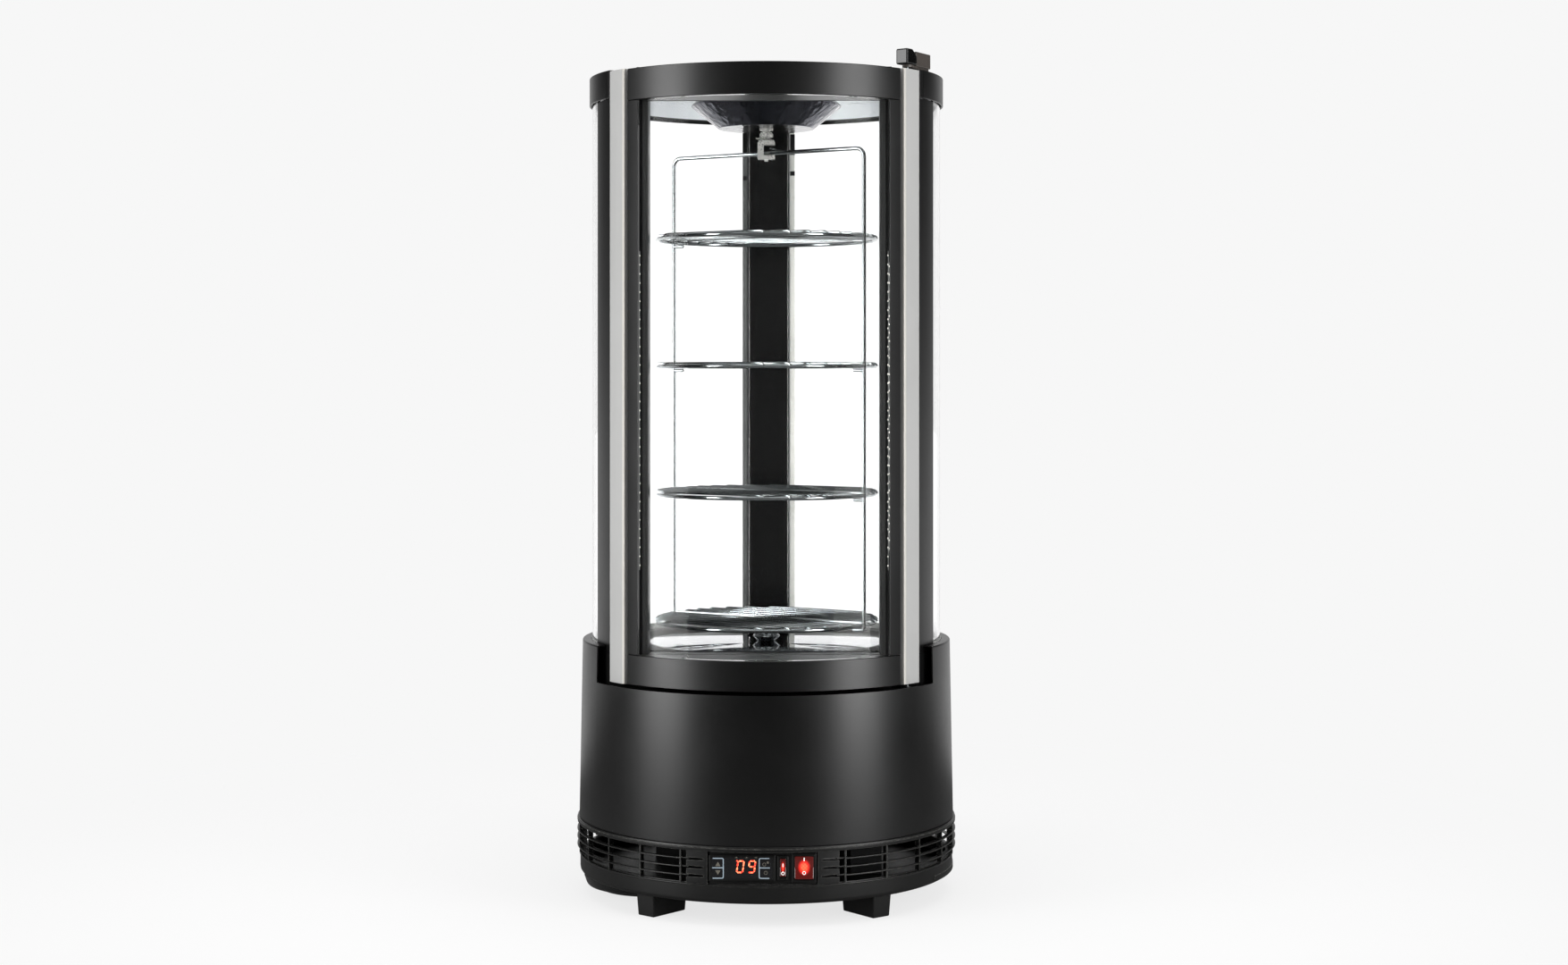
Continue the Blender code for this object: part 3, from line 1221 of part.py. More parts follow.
# Lower hinge: a plate on the sill with a pin up into the door
lower_low = SILL_TOP + GAP
lower_high = lower_low + LOWER_BRACKET_THICKNESS
lower_back = -FRONT_PLANE - GAP
lower_loop = arc((PIVOT.x, PIVOT.y), LOWER_NOSE, -170, -10, 7)
lower_loop += [(PIVOT.x + LOWER_HALF_WIDTH, lower_back), (PIVOT.x - LOWER_HALF_WIDTH, lower_back)]
lower = plate("hinge_bracket_lower", [lower_loop], lower_low, lower_high, BLACK_PAINT)
pin_low = (PIVOT.x, PIVOT.y, lower_high - LOWER_BRACKET_THICKNESS / 2)
pin_high = (PIVOT.x, PIVOT.y, DOOR_BOTTOM + PIN_REACH)
join(lower, rod("lower_pin", PIVOT_PIN_RADIUS, pin_low, pin_high, CHROME, helper=True))

# Rack frame, one wire bent to a top bar and two rods, with pegs under the shelves
across = Vector((cos(radians(RACK_ANGLE)), sin(radians(RACK_ANGLE)), 0.0))
peg_drop = SHELF_WIRE + GAP + ROD_RADIUS
foot_z = SHELF_LEVELS[0] - peg_drop


def rack_point(side, along, height):
    spot = across * (side * along)
    return (spot.x, spot.y, height)


def rack_half(side):
    """One side of the frame, from the middle of the top bar to the hook under the lowest shelf."""
    bend = []
    for i in range(6):
        angle = radians(90 * i / 5)
        along = ROD_CIRCLE - CORNER_RADIUS + CORNER_RADIUS * sin(angle)
        bend.append(rack_point(side, along, RACK_TOP - CORNER_RADIUS + CORNER_RADIUS * cos(angle)))
    hook = []
    for i in range(4):
        angle = radians(90 * i / 3)
        along = ROD_CIRCLE - HOOK_RADIUS + HOOK_RADIUS * cos(angle)
        hook.append(rack_point(side, along, foot_z + HOOK_RADIUS - HOOK_RADIUS * sin(angle)))
    tip = rack_point(side, ROD_CIRCLE - PEG_LENGTH, foot_z)
    return bend + hook + [tip]


left_half = list(reversed(rack_half(-1)))
rack_frame = wire("rack_frame", left_half + rack_half(1), ROD_RADIUS, CHROME, resolution=1)
for level, height in enumerate(SHELF_LEVELS[1:], 1):
    for side, label in ((1, "right"), (-1, "left")):
        peg_z = height - SHELF_WIRE - GAP - PEG_WIRE
        start = rack_point(side, ROD_CIRCLE, peg_z)
        end = rack_point(side, ROD_CIRCLE - PEG_LENGTH, peg_z)
        join(rack_frame, rod(f"peg_{level}_{label}", PEG_WIRE, start, end, CHROME, sides=6, helper=True))

# Shelves: a round wire with parallel wires laid across it
shelf_circle = ROD_CIRCLE - ROD_RADIUS - GAP - SHELF_WIRE
WIRE_PITCH = 2 * shelf_circle / (CROSS_WIRE_COUNT + 1)


def shelf_mesh():
    """One shelf about its own middle, its wires along X."""
    cross = bmesh.new()
    rise = SHELF_WIRE + CROSS_WIRE * 0.4
    turn = Matrix.Rotation(radians(90), 4, "Y")
    for number in range(CROSS_WIRE_COUNT):
        offset = WIRE_PITCH * (number + 1) - shelf_circle
        half = sqrt(shelf_circle**2 - offset**2) + SHELF_WIRE * 0.4
        bmesh.ops.create_cone(
            cross,
            cap_ends=True,
            segments=4,
            radius1=CROSS_WIRE,
            radius2=CROSS_WIRE,
            depth=2 * half,
            matrix=Matrix.Translation((0.0, offset, rise)) @ turn,
        )
    wires = from_bmesh("shelf_cross_wires", cross, CHROME, helper=True)
    section = []
    for i in range(5):
        angle = radians(54 + 72 * i)
        section.append((shelf_circle + SHELF_WIRE * cos(angle), SHELF_WIRE * sin(angle)))
    ring = turned("shelf_ring", section, CHROME, 24)
    join(ring, wires)
    bpy.context.view_layer.update()
    mesh = bpy.data.meshes.new_from_object(ring.evaluated_get(bpy.context.evaluated_depsgraph_get()))
    bpy.data.objects.remove(ring, do_unlink=True)
    mesh.name = "wire_shelf"
    shade(mesh)
    return mesh


shelf = shelf_mesh()
rack = [rack_frame]
for number, height in enumerate(reversed(SHELF_LEVELS), 1):
    made = bpy.data.objects.new(f"shelf_{number}", shelf)
    made.location = (0.0, 0.0, height)
    made.rotation_euler = (0.0, 0.0, radians(RACK_ANGLE))
    case.objects.link(made)
    rack.append(made)

# Drive coupling: two nuts, a lever and a flange over a C-shaped clamp that holds the top bar
stack_low = CLAMP_TOP - CLAMP_PLATE / 2
nut_low = STACK_TOP - STACK_NUT
lower_nut = nut_low - STACK_COLLAR
spindle_low, spindle_high = (0.0, 0.0, stack_low), (0.0, 0.0, nut_low + STACK_NUT / 2)
coupling = rod("drive_coupling", STACK_NECK_RADIUS, spindle_low, spindle_high, CHROME, SMALL)
for name, radius, low, high, sides in (
    ("stack_flange", STACK_NUT_RADIUS, stack_low, CLAMP_TOP + STACK_COLLAR, SMALL),
    ("stack_lower_nut", STACK_RADIUS, lower_nut - STACK_NUT, lower_nut, 6),
    ("stack_upper_nut", STACK_RADIUS, nut_low, STACK_TOP, 6),
):
    join(coupling, rod(name, radius, (0.0, 0.0, low), (0.0, 0.0, high), CHROME, sides, helper=True))
lever_low = (-STACK_LEVER, -STACK_LEVER_WIDTH / 2, CLAMP_TOP + STACK_COLLAR + GAP)
lever_high = (0.0, STACK_LEVER_WIDTH / 2, lower_nut - STACK_NUT - GAP)
join(coupling, span_box("stack_lever", lever_low, lever_high, CHROME, helper=True))
clamp_loop = [
    (-CLAMP_WIDTH / 2, CLAMP_BOTTOM),
    (CLAMP_WIDTH / 2, CLAMP_BOTTOM),
    (CLAMP_WIDTH / 2, CLAMP_BOTTOM + CLAMP_FOOT),
    (-CLAMP_WIDTH / 2 + CLAMP_WEB, CLAMP_BOTTOM + CLAMP_FOOT),
    (-CLAMP_WIDTH / 2 + CLAMP_WEB, CLAMP_TOP - CLAMP_PLATE),
    (CLAMP_WIDTH / 2, CLAMP_TOP - CLAMP_PLATE),
    (CLAMP_WIDTH / 2, CLAMP_TOP),
    (-CLAMP_WIDTH / 2, CLAMP_TOP),
]
clamp = plate("coupling_clamp", [clamp_loop], -CLAMP_DEPTH / 2, CLAMP_DEPTH / 2, CHROME, helper=True)
clamp.matrix_world = Matrix.Rotation(radians(90), 4, "X")
join(coupling, clamp)
bolt_low = (0.0, 0.0, CLAMP_BOTTOM - CLAMP_BOLT_HEAD)
bolt_high = (0.0, 0.0, CLAMP_BOTTOM + CLAMP_FOOT / 3)
join(coupling, rod("clamp_bolt", CLAMP_BOLT_RADIUS, bolt_low, bolt_high, CHROME, 8, helper=True))
bar_start, bar_end = rack_point(-1, CLAMP_WIDTH + PAST, RACK_TOP), rack_point(1, CLAMP_WIDTH + PAST, RACK_TOP)
passage_radius = (ROD_RADIUS + GAP) / cos(pi / 8)
cut(coupling, rod("bar_passage", passage_radius, bar_start, bar_end, CHROME, 8, helper=True))
rack.append(coupling)
hang(pivot_at("rack_axis", (0.0, 0.0, RACK_TOP)), rack)

# Compressor on the pan
compressor_profile = [
    (0.0, 0.0),
    (COMPRESSOR_RADIUS * 0.96, 0.0),
    (COMPRESSOR_RADIUS * 0.96, COMPRESSOR_HEIGHT * 0.45),
    (COMPRESSOR_RADIUS, COMPRESSOR_HEIGHT * 0.45),
    (COMPRESSOR_RADIUS, COMPRESSOR_HEIGHT * 0.50),
    (COMPRESSOR_RADIUS * 0.92, COMPRESSOR_HEIGHT * 0.52),
    (COMPRESSOR_RADIUS * 0.92, COMPRESSOR_HEIGHT * 0.80),
    (COMPRESSOR_RADIUS * 0.70, COMPRESSOR_HEIGHT * 0.95),
    (0.0, COMPRESSOR_HEIGHT),
]
pan_floor = FOOT_HEIGHT + PAN_WALL + GAP
compressor = turned("compressor", compressor_profile, BLACK_PAINT, SMALL, centre=COMPRESSOR_CENTRE)
compressor.location.z = pan_floor

# Condenser: a block of fins on the pan, with a fan blowing through it
coil_low = (COIL_CENTRE[0] - COIL_SIZE[0] / 2, COIL_CENTRE[1] - COIL_SIZE[1] / 2, pan_floor)
coil_high = (COIL_CENTRE[0] + COIL_SIZE[0] / 2, COIL_CENTRE[1] + COIL_SIZE[1] / 2, pan_floor + COIL_SIZE[2])


def finned(name, low, high, count, surface):
    """A block with upright slots between its fins."""
    made = span_box(name, low, high, surface)
    slots = bmesh.new()
    pitch = (high[1] - low[1]) / (count + 1)
    for number in range(count):
        y = low[1] + pitch * (number + 1)
        middle = Vector(((low[0] + high[0]) / 2, y, (low[2] + high[2]) / 2))
        size = Matrix.Diagonal((high[0] - low[0] + PAST, pitch * 0.5, (high[2] - low[2]) * 0.8, 1.0))
        bmesh.ops.create_cube(slots, size=1.0, matrix=Matrix.Translation(middle) @ size)
    return cut(made, from_bmesh(name + "_slots", slots, surface, helper=True, smooth=False))


finned("condenser_coil", coil_low, coil_high, FIN_COUNT, FIN_METAL)
fan_z = pan_floor + COIL_SIZE[2] / 2
fan_y = COIL_CENTRE[1]


def fan(name, hub, radius, width, centre, direction, blades):
    """A hub with flat pitched blades about the given direction."""
    made = bmesh.new()
    bmesh.ops.create_cone(made, cap_ends=True, segments=SMALL, radius1=hub, radius2=hub, depth=width)
    hub_object = from_bmesh(name, made, BLACK_PLASTIC)
    vanes = bmesh.new()
    for number in range(blades):
        turn = Matrix.Rotation(2 * pi * number / blades, 4, "Z")
        reach = Matrix.Translation(((hub * 0.7 + radius) / 2, 0.0, 0.0))
        pitch = Matrix.Rotation(radians(BLADE_PITCH), 4, "X")
        size = Matrix.Diagonal((radius - hub * 0.7, hub * 1.5, BLADE_THICKNESS, 1.0))
        bmesh.ops.create_cube(vanes, size=1.0, matrix=turn @ reach @ pitch @ size)
    vane_object = from_bmesh(name + "_blades", vanes, BLACK_PLASTIC, helper=True, smooth=False)
    where = Matrix.Translation(centre) @ Vector(direction).to_track_quat("Z", "Y").to_matrix().to_4x4()
    hub_object.matrix_world = where
    vane_object.matrix_world = where
    return join(hub_object, vane_object)


fan("condenser_fan", FAN_HUB, FAN_RADIUS, FAN_WIDTH, (FAN_X, fan_y, fan_z), (1, 0, 0), 5)
shroud_x = FAN_X + FAN_WIDTH / 2 + FAN_GAP
shroud = span_box(
    "condenser_fan_shroud",
    (shroud_x, fan_y - SHROUD_WIDTH / 2, pan_floor),
    (coil_low[0] - GAP, fan_y + SHROUD_WIDTH / 2, coil_high[2]),
    BLACK_PAINT,
)
bore_start, bore_end = (shroud_x - PAST, fan_y, fan_z), (coil_low[0] + PAST, fan_y, fan_z)
bore = rod("shroud_bore", FAN_RADIUS + FAN_GAP, bore_start, bore_end, BLACK_PAINT, COARSE, helper=True)
cut(shroud, bore)
motor_x = FAN_X - FAN_WIDTH / 2 - GAP
motor_start, motor_end = (motor_x - FAN_MOTOR_LENGTH, fan_y, fan_z), (motor_x, fan_y, fan_z)
fan_motor = rod("condenser_fan_motor", FAN_MOTOR_RADIUS, motor_start, motor_end, BLACK_PAINT)
stand_x = motor_x - FAN_MOTOR_LENGTH / 2
stand = span_box(
    "fan_motor_stand",
    (stand_x - STAND_THICKNESS, fan_y - STAND_WIDTH / 2, pan_floor),
    (stand_x, fan_y + STAND_WIDTH / 2, fan_z),
    BLACK_PAINT,
    helper=True,
)
join(fan_motor, stand)

# Evaporator and its fan in the tub under the floor
tub_floor = TUB_BOTTOM + TUB_WALL + GAP
half_width, half_depth = EVAPORATOR_SIZE[0] / 2, EVAPORATOR_SIZE[1] / 2
evaporator_low = (-half_width, EVAPORATOR_Y - half_depth, tub_floor)
evaporator_high = (half_width, EVAPORATOR_Y + half_depth, tub_floor + EVAPORATOR_SIZE[2])
finned("evaporator_coil", evaporator_low, evaporator_high, FIN_COUNT // 2, FIN_METAL)
blower_y = evaporator_high[1] + EVAPORATOR_FAN_RADIUS + EVAPORATOR_FAN_SPACE
blower_z = tub_floor + EVAPORATOR_MOTOR_HEIGHT
blower_start, blower_end = (0.0, blower_y, tub_floor), (0.0, blower_y, blower_z)
rod("evaporator_fan_motor", EVAPORATOR_MOTOR_RADIUS, blower_start, blower_end, BLACK_PAINT)
blower_centre = (0.0, blower_y, blower_z + GAP + EVAPORATOR_FAN_WIDTH / 2)
fan(
    "evaporator_fan",
    EVAPORATOR_FAN_HUB,
    EVAPORATOR_FAN_RADIUS,
    EVAPORATOR_FAN_WIDTH,
    blower_centre,
    (0, 0, 1),
    4,
)

# Cable gland, a low bushing on the back of the skirt
gland_z = VENT_TOP + GLAND_RISE
gland_profile = [
    (0.0, 0.0),
    (GLAND_RADIUS, 0.0),
    (GLAND_RADIUS, GLAND_THICKNESS / 2),
    (GLAND_BORE * 1.4, GLAND_THICKNESS),
    (GLAND_BORE, GLAND_THICKNESS),
    (GLAND_BORE, GLAND_THICKNESS / 3),
    (0.0, GLAND_THICKNESS / 3),
]
gland = turned("cable_gland", gland_profile, BLACK_PLASTIC, SMALL)
gland_face = max(skirt_radius(gland_z - GLAND_RADIUS), skirt_radius(gland_z + GLAND_RADIUS)) + GAP
gland.matrix_world = Matrix.Translation((0.0, gland_face, gland_z)) @ Matrix.Rotation(radians(-90), 4, "X")
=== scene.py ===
"""Studio view of a round refrigerated display case, dressed piece by piece in the order it is put together."""

import json
from math import asin, atan2, cos, degrees, hypot, pi, radians, sin, sqrt

import bmesh
import bpy
from mathutils import Matrix, Vector


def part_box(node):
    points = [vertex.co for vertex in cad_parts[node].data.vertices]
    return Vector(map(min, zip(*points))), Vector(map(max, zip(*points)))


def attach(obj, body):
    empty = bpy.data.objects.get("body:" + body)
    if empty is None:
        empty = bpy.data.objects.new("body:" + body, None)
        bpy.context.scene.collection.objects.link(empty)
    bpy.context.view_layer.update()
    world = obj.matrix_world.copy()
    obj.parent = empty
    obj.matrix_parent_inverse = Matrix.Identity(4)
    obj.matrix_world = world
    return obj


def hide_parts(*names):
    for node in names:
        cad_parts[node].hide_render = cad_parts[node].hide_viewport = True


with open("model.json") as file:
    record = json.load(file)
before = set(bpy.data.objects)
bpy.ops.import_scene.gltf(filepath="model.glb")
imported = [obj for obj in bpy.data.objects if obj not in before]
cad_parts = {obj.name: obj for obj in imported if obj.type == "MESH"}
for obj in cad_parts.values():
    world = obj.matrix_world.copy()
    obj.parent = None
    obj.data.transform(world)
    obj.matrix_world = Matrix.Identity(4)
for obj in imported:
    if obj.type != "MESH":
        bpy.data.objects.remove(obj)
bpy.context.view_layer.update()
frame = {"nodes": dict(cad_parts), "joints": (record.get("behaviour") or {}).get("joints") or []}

# Camera: a level view camera just right of the case's front, shifted instead of tilted,
# so that the uprights of the case stay parallel. The rows and columns are pixels of the photograph.
PHOTO_SIZE = (1755, 1080)
AXIS_COLUMN = 857.7
HORIZON_ROW = 420.0
CAMERA_DISTANCE = 2.925
CAMERA_HEIGHT = 0.611
CAMERA_ANGLE = 1.1
SENSOR_WIDTH = 36.0
FOCAL_LENGTH = 56.22
put_in_scene = bpy.context.scene.collection.objects.link


def around(angle, radius, height=0.0):
    """The point at an angle round the case, in degrees from the middle of its front towards +X."""
    return Vector((radius * sin(radians(angle)), -radius * cos(radians(angle)), height))


camera_data = bpy.data.cameras.new("view_camera")
camera_data.lens = FOCAL_LENGTH
camera_data.sensor_width = SENSOR_WIDTH
camera_data.shift_x = (PHOTO_SIZE[0] / 2 - AXIS_COLUMN) / PHOTO_SIZE[0]
camera_data.shift_y = (HORIZON_ROW - PHOTO_SIZE[1] / 2) / PHOTO_SIZE[0]
camera = bpy.data.objects.new("view_camera", camera_data)
camera.location = around(CAMERA_ANGLE, CAMERA_DISTANCE, CAMERA_HEIGHT)
camera.rotation_euler = (pi / 2, 0.0, radians(CAMERA_ANGLE))
put_in_scene(camera)
bpy.context.scene.camera = camera
bpy.context.scene.view_settings.view_transform = "Standard"


# Studio: a pale seamless floor and backdrop in a dim room, with two stacked soft boxes at each side
# and a wide one over the case. Mirrors and paint see the bright backdrop only where they face it.
FLOOR_SIZE = 40.0
BACKDROP = "#f7f7f7"
FLOOR_PAINT = "#e4e4e4"
FLOOR_GLOW = 0.80
FLOOR_FADE = (0.30, 1.2)
SURROUND_LEVEL = 0.90
DIM_ROOM = 0.02
DIM_INSIDE = 0.16
BACKDROP_SPAN = (0.70, 0.97)
THROUGH_GLASS = 1.25
PANE_GAIN = 0.04
SOFTBOX_ANGLES = (-61.0, 56.0)
SOFTBOX_DISTANCE = 2.3
SOFTBOX_WIDTH = 1.05
SOFTBOX_LEVELS = ((0.42, 0.84, 29.0), (1.28, 0.88, 18.5))
TOP_LIGHT_SIZE = 2.2
TOP_LIGHT_SPOT = (0.0, -0.6, 2.9)
TOP_LIGHT_TARGET = (0.0, 0.0, 0.5)
TOP_LIGHT_WATTS = 30.0


def linear(code):
    """The linear RGBA values of an sRGB hex colour."""
    channels = [int(code[i:i + 2], 16) / 255 for i in (1, 3, 5)]
    return [c / 12.92 if c <= 0.04045 else ((c + 0.055) / 1.055) ** 2.4 for c in channels] + [1.0]


def add(tree, kind, sockets=None, **settings):
    """A node with its settings, and its sockets filled with values or linked to outputs."""
    made = tree.nodes.new("ShaderNode" + kind)
    for name, value in settings.items():
        setattr(made, name, value)
    for name, value in (sockets or {}).items():
        if isinstance(value, bpy.types.NodeSocket):
            tree.links.new(value, made.inputs[name])
        else:
            made.inputs[name].default_value = value
    return made


def studio_strength(tree, backwards):
    """How bright the studio is to a ray: pale when seen, even for diffuse light, else only near the backdrop."""
    ray = add(tree, "LightPath").outputs
    fade = {0: backwards, 1: BACKDROP_SPAN[0], 2: BACKDROP_SPAN[1]}
    mirrored = add(tree, "MapRange", fade | {3: DIM_ROOM, 4: 1.0}, interpolation_type="SMOOTHSTEP")
    behind_glass = add(tree, "MapRange", fade | {3: DIM_INSIDE, 4: THROUGH_GLASS},
                       interpolation_type="SMOOTHSTEP")
    bounced = add(tree, "Mix", {0: ray["Is Transmission Ray"], 2: mirrored.outputs[0],
                                3: behind_glass.outputs[0]}).outputs[0]
    turns = add(tree, "Math", {0: ray["Ray Depth"], 1: ray["Transmission Depth"]},
                operation="SUBTRACT").outputs[0]
    straight = add(tree, "Math", {0: turns, 1: 0.5}, operation="LESS_THAN").outputs[0]
    gain = add(tree, "Math", {0: ray["Transmission Depth"], 1: PANE_GAIN, 2: 1.0},
               operation="MULTIPLY_ADD").outputs[0]
    through = add(tree, "Mix", {0: straight, 2: bounced, 3: gain}).outputs[0]
    scattered = add(tree, "Math", {0: ray["Diffuse Depth"], 1: 0.5}, operation="GREATER_THAN").outputs[0]
    lighting = add(tree, "Mix", {0: scattered, 2: through, 3: SURROUND_LEVEL}).outputs[0]
    return add(tree, "Mix", {0: ray["Is Camera Ray"], 2: lighting, 3: 1.0}).outputs[0]


world = bpy.data.worlds.new("pale_surround")
bpy.context.scene.world = world
world.use_nodes = True
tree = world.node_tree
tree.nodes.clear()
backwards = add(tree, "SeparateXYZ", {0: add(tree, "TexCoord").outputs["Generated"]}).outputs[1]
surround = add(tree, "Background", {"Color": linear(BACKDROP), "Strength": studio_strength(tree, backwards)})
add(tree, "OutputWorld", {"Surface": surround.outputs[0]})

floor_paper = bpy.data.materials.new("pale_paper_floor")
floor_paper.use_nodes = True
tree = floor_paper.node_tree
tree.nodes.clear()
place = add(tree, "TexCoord").outputs["Object"]
away = add(tree, "VectorMath", {0: place}, operation="LENGTH").outputs["Value"]
far_off = add(tree, "MapRange", {0: away, 1: FLOOR_FADE[0], 2: FLOOR_FADE[1], 3: FLOOR_GLOW, 4: 1.0},
              interpolation_type="SMOOTHSTEP").outputs[0]
unlit = add(tree, "Math", {0: 1.0, 1: add(tree, "LightPath").outputs["Is Diffuse Ray"]},
            operation="SUBTRACT").outputs[0]
share = add(tree, "Math", {0: far_off, 1: unlit}, operation="MULTIPLY").outputs[0]
paper = add(tree, "BsdfDiffuse", {"Color": linear(FLOOR_PAINT)})
backwards = add(tree, "SeparateXYZ", {0: place}).outputs[1]
glow = add(tree, "Emission", {"Color": linear(BACKDROP), "Strength": studio_strength(tree, backwards)})
lit = add(tree, "MixShader", {0: share, 1: paper.outputs[0], 2: glow.outputs[0]})
add(tree, "OutputMaterial", {"Surface": lit.outputs[0]})
floor_shape = bmesh.new()
bmesh.ops.create_grid(floor_shape, x_segments=1, y_segments=1, size=FLOOR_SIZE / 2)
floor_mesh = bpy.data.meshes.new("studio_floor")
floor_shape.to_mesh(floor_mesh)
floor_mesh.materials.append(floor_paper)
studio_floor = bpy.data.objects.new("studio_floor", floor_mesh)
put_in_scene(studio_floor)


def soft_light(name, width, height, watts, location, target):
    """A rectangular lamp that faces a point and isn't seen itself."""
    lamp = bpy.data.lights.new(name, "AREA")
    lamp.shape = "RECTANGLE"
    lamp.size = width
    lamp.size_y = height
    lamp.energy = watts
    made = bpy.data.objects.new(name, lamp)
    made.location = location
    made.rotation_euler = (location - target).to_track_quat("Z", "Y").to_euler()
    made.visible_camera = False
    put_in_scene(made)
    return made


for side in SOFTBOX_ANGLES:
    for height, length, watts in SOFTBOX_LEVELS:
        spot = around(side, SOFTBOX_DISTANCE, height)
        soft_light("side_softbox", SOFTBOX_WIDTH, length, watts, spot, Vector((0.0, 0.0, height)))
soft_light("overhead_softbox", TOP_LIGHT_SIZE, TOP_LIGHT_SIZE, TOP_LIGHT_WATTS,
           Vector(TOP_LIGHT_SPOT), Vector(TOP_LIGHT_TARGET))


# Base pan: the dish under the machine room, injection moulded in black ABS with a rolled lip.
# Its wall has the dull spark-eroded grain of a mould, and its edges are painted lighter: partly rubbed wear,
# partly painted highlight.
PAN_WALL = 0.002
PAN_CORNER = 0.005
PAN_BEAD = 0.0008
PAN_BEAD_HEIGHT = 0.0022
PAN_STEP_ANGLES = (62.0, 101.0)
PAN_STEP_LEVELS = (0.0022, 0.0088)
FULL_TURN = 360.0
FINE_STEPS = 240
CLOUD_MM = 55.0
EDGE_WEAR_AND_HIGHLIGHT_SHARE = 0.8
SHARP_ANGLE = 34.0
ROUNDED_ANGLE = 40.0


def principled(name, constants):
    """A new material with its constants, as (material, node tree, Principled shader)."""
    made = bpy.data.materials.new(name)
    made.use_nodes = True
    shader = made.node_tree.nodes["Principled BSDF"]
    for socket, value in constants.items():
        shader.inputs[socket].default_value = value
    return made, made.node_tree, shader


def lighten_edges_wear_and_highlight(tree, tint, colour, width_mm):
    """Lightens the outer edges of a surface: partly wear where hands and floors have rubbed them, partly a
    painted highlight along the edge.
    """
    soft = add(tree, "Bevel", {"Radius": width_mm / 1000}, samples=4).outputs[0]
    true = add(tree, "NewGeometry").outputs["Normal"]
    facing = add(tree, "VectorMath", {0: soft, 1: true}, operation="DOT_PRODUCT").outputs["Value"]
    edge = add(tree, "MapRange", {0: facing, 1: 0.985, 2: 0.86, 3: 0.0, 4: EDGE_WEAR_AND_HIGHLIGHT_SHARE}).outputs[0]
    place = add(tree, "TexCoord").outputs["Object"]
    broken = add(tree, "TexNoise", {"Vector": place, "Scale": 260.0, "Detail": 5.0}).outputs[0]
    patches = add(tree, "MapRange", {0: broken, 1: 0.42, 2: 0.62, 3: 0.25, 4: 1.0}).outputs[0]
    share = add(tree, "Math", {0: edge, 1: patches}, operation="MULTIPLY").outputs[0]
    return add(tree, "Mix", {0: share, 6: tint, 7: linear(colour)}, data_type="RGBA").outputs[2]


def surface(name, colours, roughness, grain_mm, depth_mm, metallic=0.0, stretch=(1.0, 1.0, 1.0),
            cloud_mm=CLOUD_MM, edge_wear_and_highlight=None, constants=None):
    """A material whose colour and roughness wander, with a raised grain and perhaps (colour, mm) of lighter edge,
    partly wear and partly painted highlight.
    """
    made, tree, shader = principled(name, {"Metallic": metallic} | (constants or {}))
    place = add(tree, "TexCoord").outputs["Object"]
    drawn = add(tree, "Mapping", {"Vector": place, "Scale": stretch}).outputs[0]
    clouds = add(tree, "TexNoise", {"Vector": place, "Scale": 1000 / cloud_mm, "Detail": 4.0}).outputs[0]
    grain = add(tree, "TexNoise", {"Vector": drawn, "Scale": 1000 / grain_mm, "Detail": 2.0}).outputs[0]
    both = add(tree, "Mix", {0: 0.4, 2: clouds, 3: grain}).outputs[0]
    first, second = (linear(code) for code in colours)
    tint = add(tree, "Mix", {0: both, 6: first, 7: second}, data_type="RGBA").outputs[2]
    if edge_wear_and_highlight:
        tint = lighten_edges_wear_and_highlight(tree, tint, *edge_wear_and_highlight)
    raised = add(tree, "Bump", {"Height": grain, "Distance": depth_mm / 1000, "Strength": 1.0}).outputs[0]
    tree.links.new(tint, shader.inputs["Base Color"])
    polish = add(tree, "MapRange", {0: both, 1: 0.3, 2: 0.7, 3: roughness[0], 4: roughness[1]}).outputs[0]
    tree.links.new(polish, shader.inputs["Roughness"])
    tree.links.new(raised, shader.inputs["Normal"])
    return made


# Moulded ABS: matt black with a fine pebble grain, drawn at 1.6 mm instead of 0.4 mm so that it shows
# Its lighter edge colour is partly wear and partly painted highlight: the bright lines along the slats and lips.
moulded_abs = surface("moulded_black_abs", ("#080808", "#0f0f0e"), (0.34, 0.46), 1.6, 0.02,
                      edge_wear_and_highlight=("#6a6a66", 0.9), constants={"Specular IOR Level": 0.35})


def rounded(corners, steps=4):
    """A closed outline of (u, v) or (u, v, radius) corners, with each corner that has a radius rounded."""
    outline = []
    for i, corner in enumerate(corners):
        here = Vector(corner[:2])
        if len(corner) == 2:
            outline.append(tuple(here))
            continue
        before = Vector(corners[i - 1][:2]) - here
        after = Vector(corners[(i + 1) % len(corners)][:2]) - here
        half_angle_tangent = sqrt((1 - cos(before.angle(after))) / (1 + cos(before.angle(after))))
        reach = min(corner[2] / max(0.05, half_angle_tangent), before.length * 0.49, after.length * 0.49)
        start, end = here + before.normalized() * reach, here + after.normalized() * reach
        for step in range(steps + 1):
            t = step / steps
            outline.append(tuple(start * (1 - t) ** 2 + here * 2 * t * (1 - t) + end * t ** 2))
    return outline


def skin(rings, closed=False, into=None):
    """The skin through rings of equally many points, in a bmesh; it joins up or is capped at both ends."""
    shape = bmesh.new() if into is None else into
    rings = [[shape.verts.new(point) for point in ring] for ring in rings]
    for here, there in zip(rings, rings[1:] + (rings[:1] if closed else [])):
        for i in range(len(here)):
            j = (i + 1) % len(here)
            shape.faces.new((here[i], here[j], there[j], there[i]))
    if not closed:
        shape.faces.new(rings[0])
        shape.faces.new(rings[-1])
    return shape


def swept(profile, start=0.0, end=FULL_TURN, steps=FINE_STEPS, centre=(0.0, 0.0), into=None):
    """The solid that a closed profile of (radius, height) points sweeps between two angles."""
    closed = abs(end - start) == FULL_TURN
    offset = Vector((*centre, 0.0))
    angles = [start + (end - start) * i / steps for i in range(steps if closed else steps + 1)]
    return skin([[around(angle, r, z) + offset for r, z in profile] for angle in angles], closed, into)


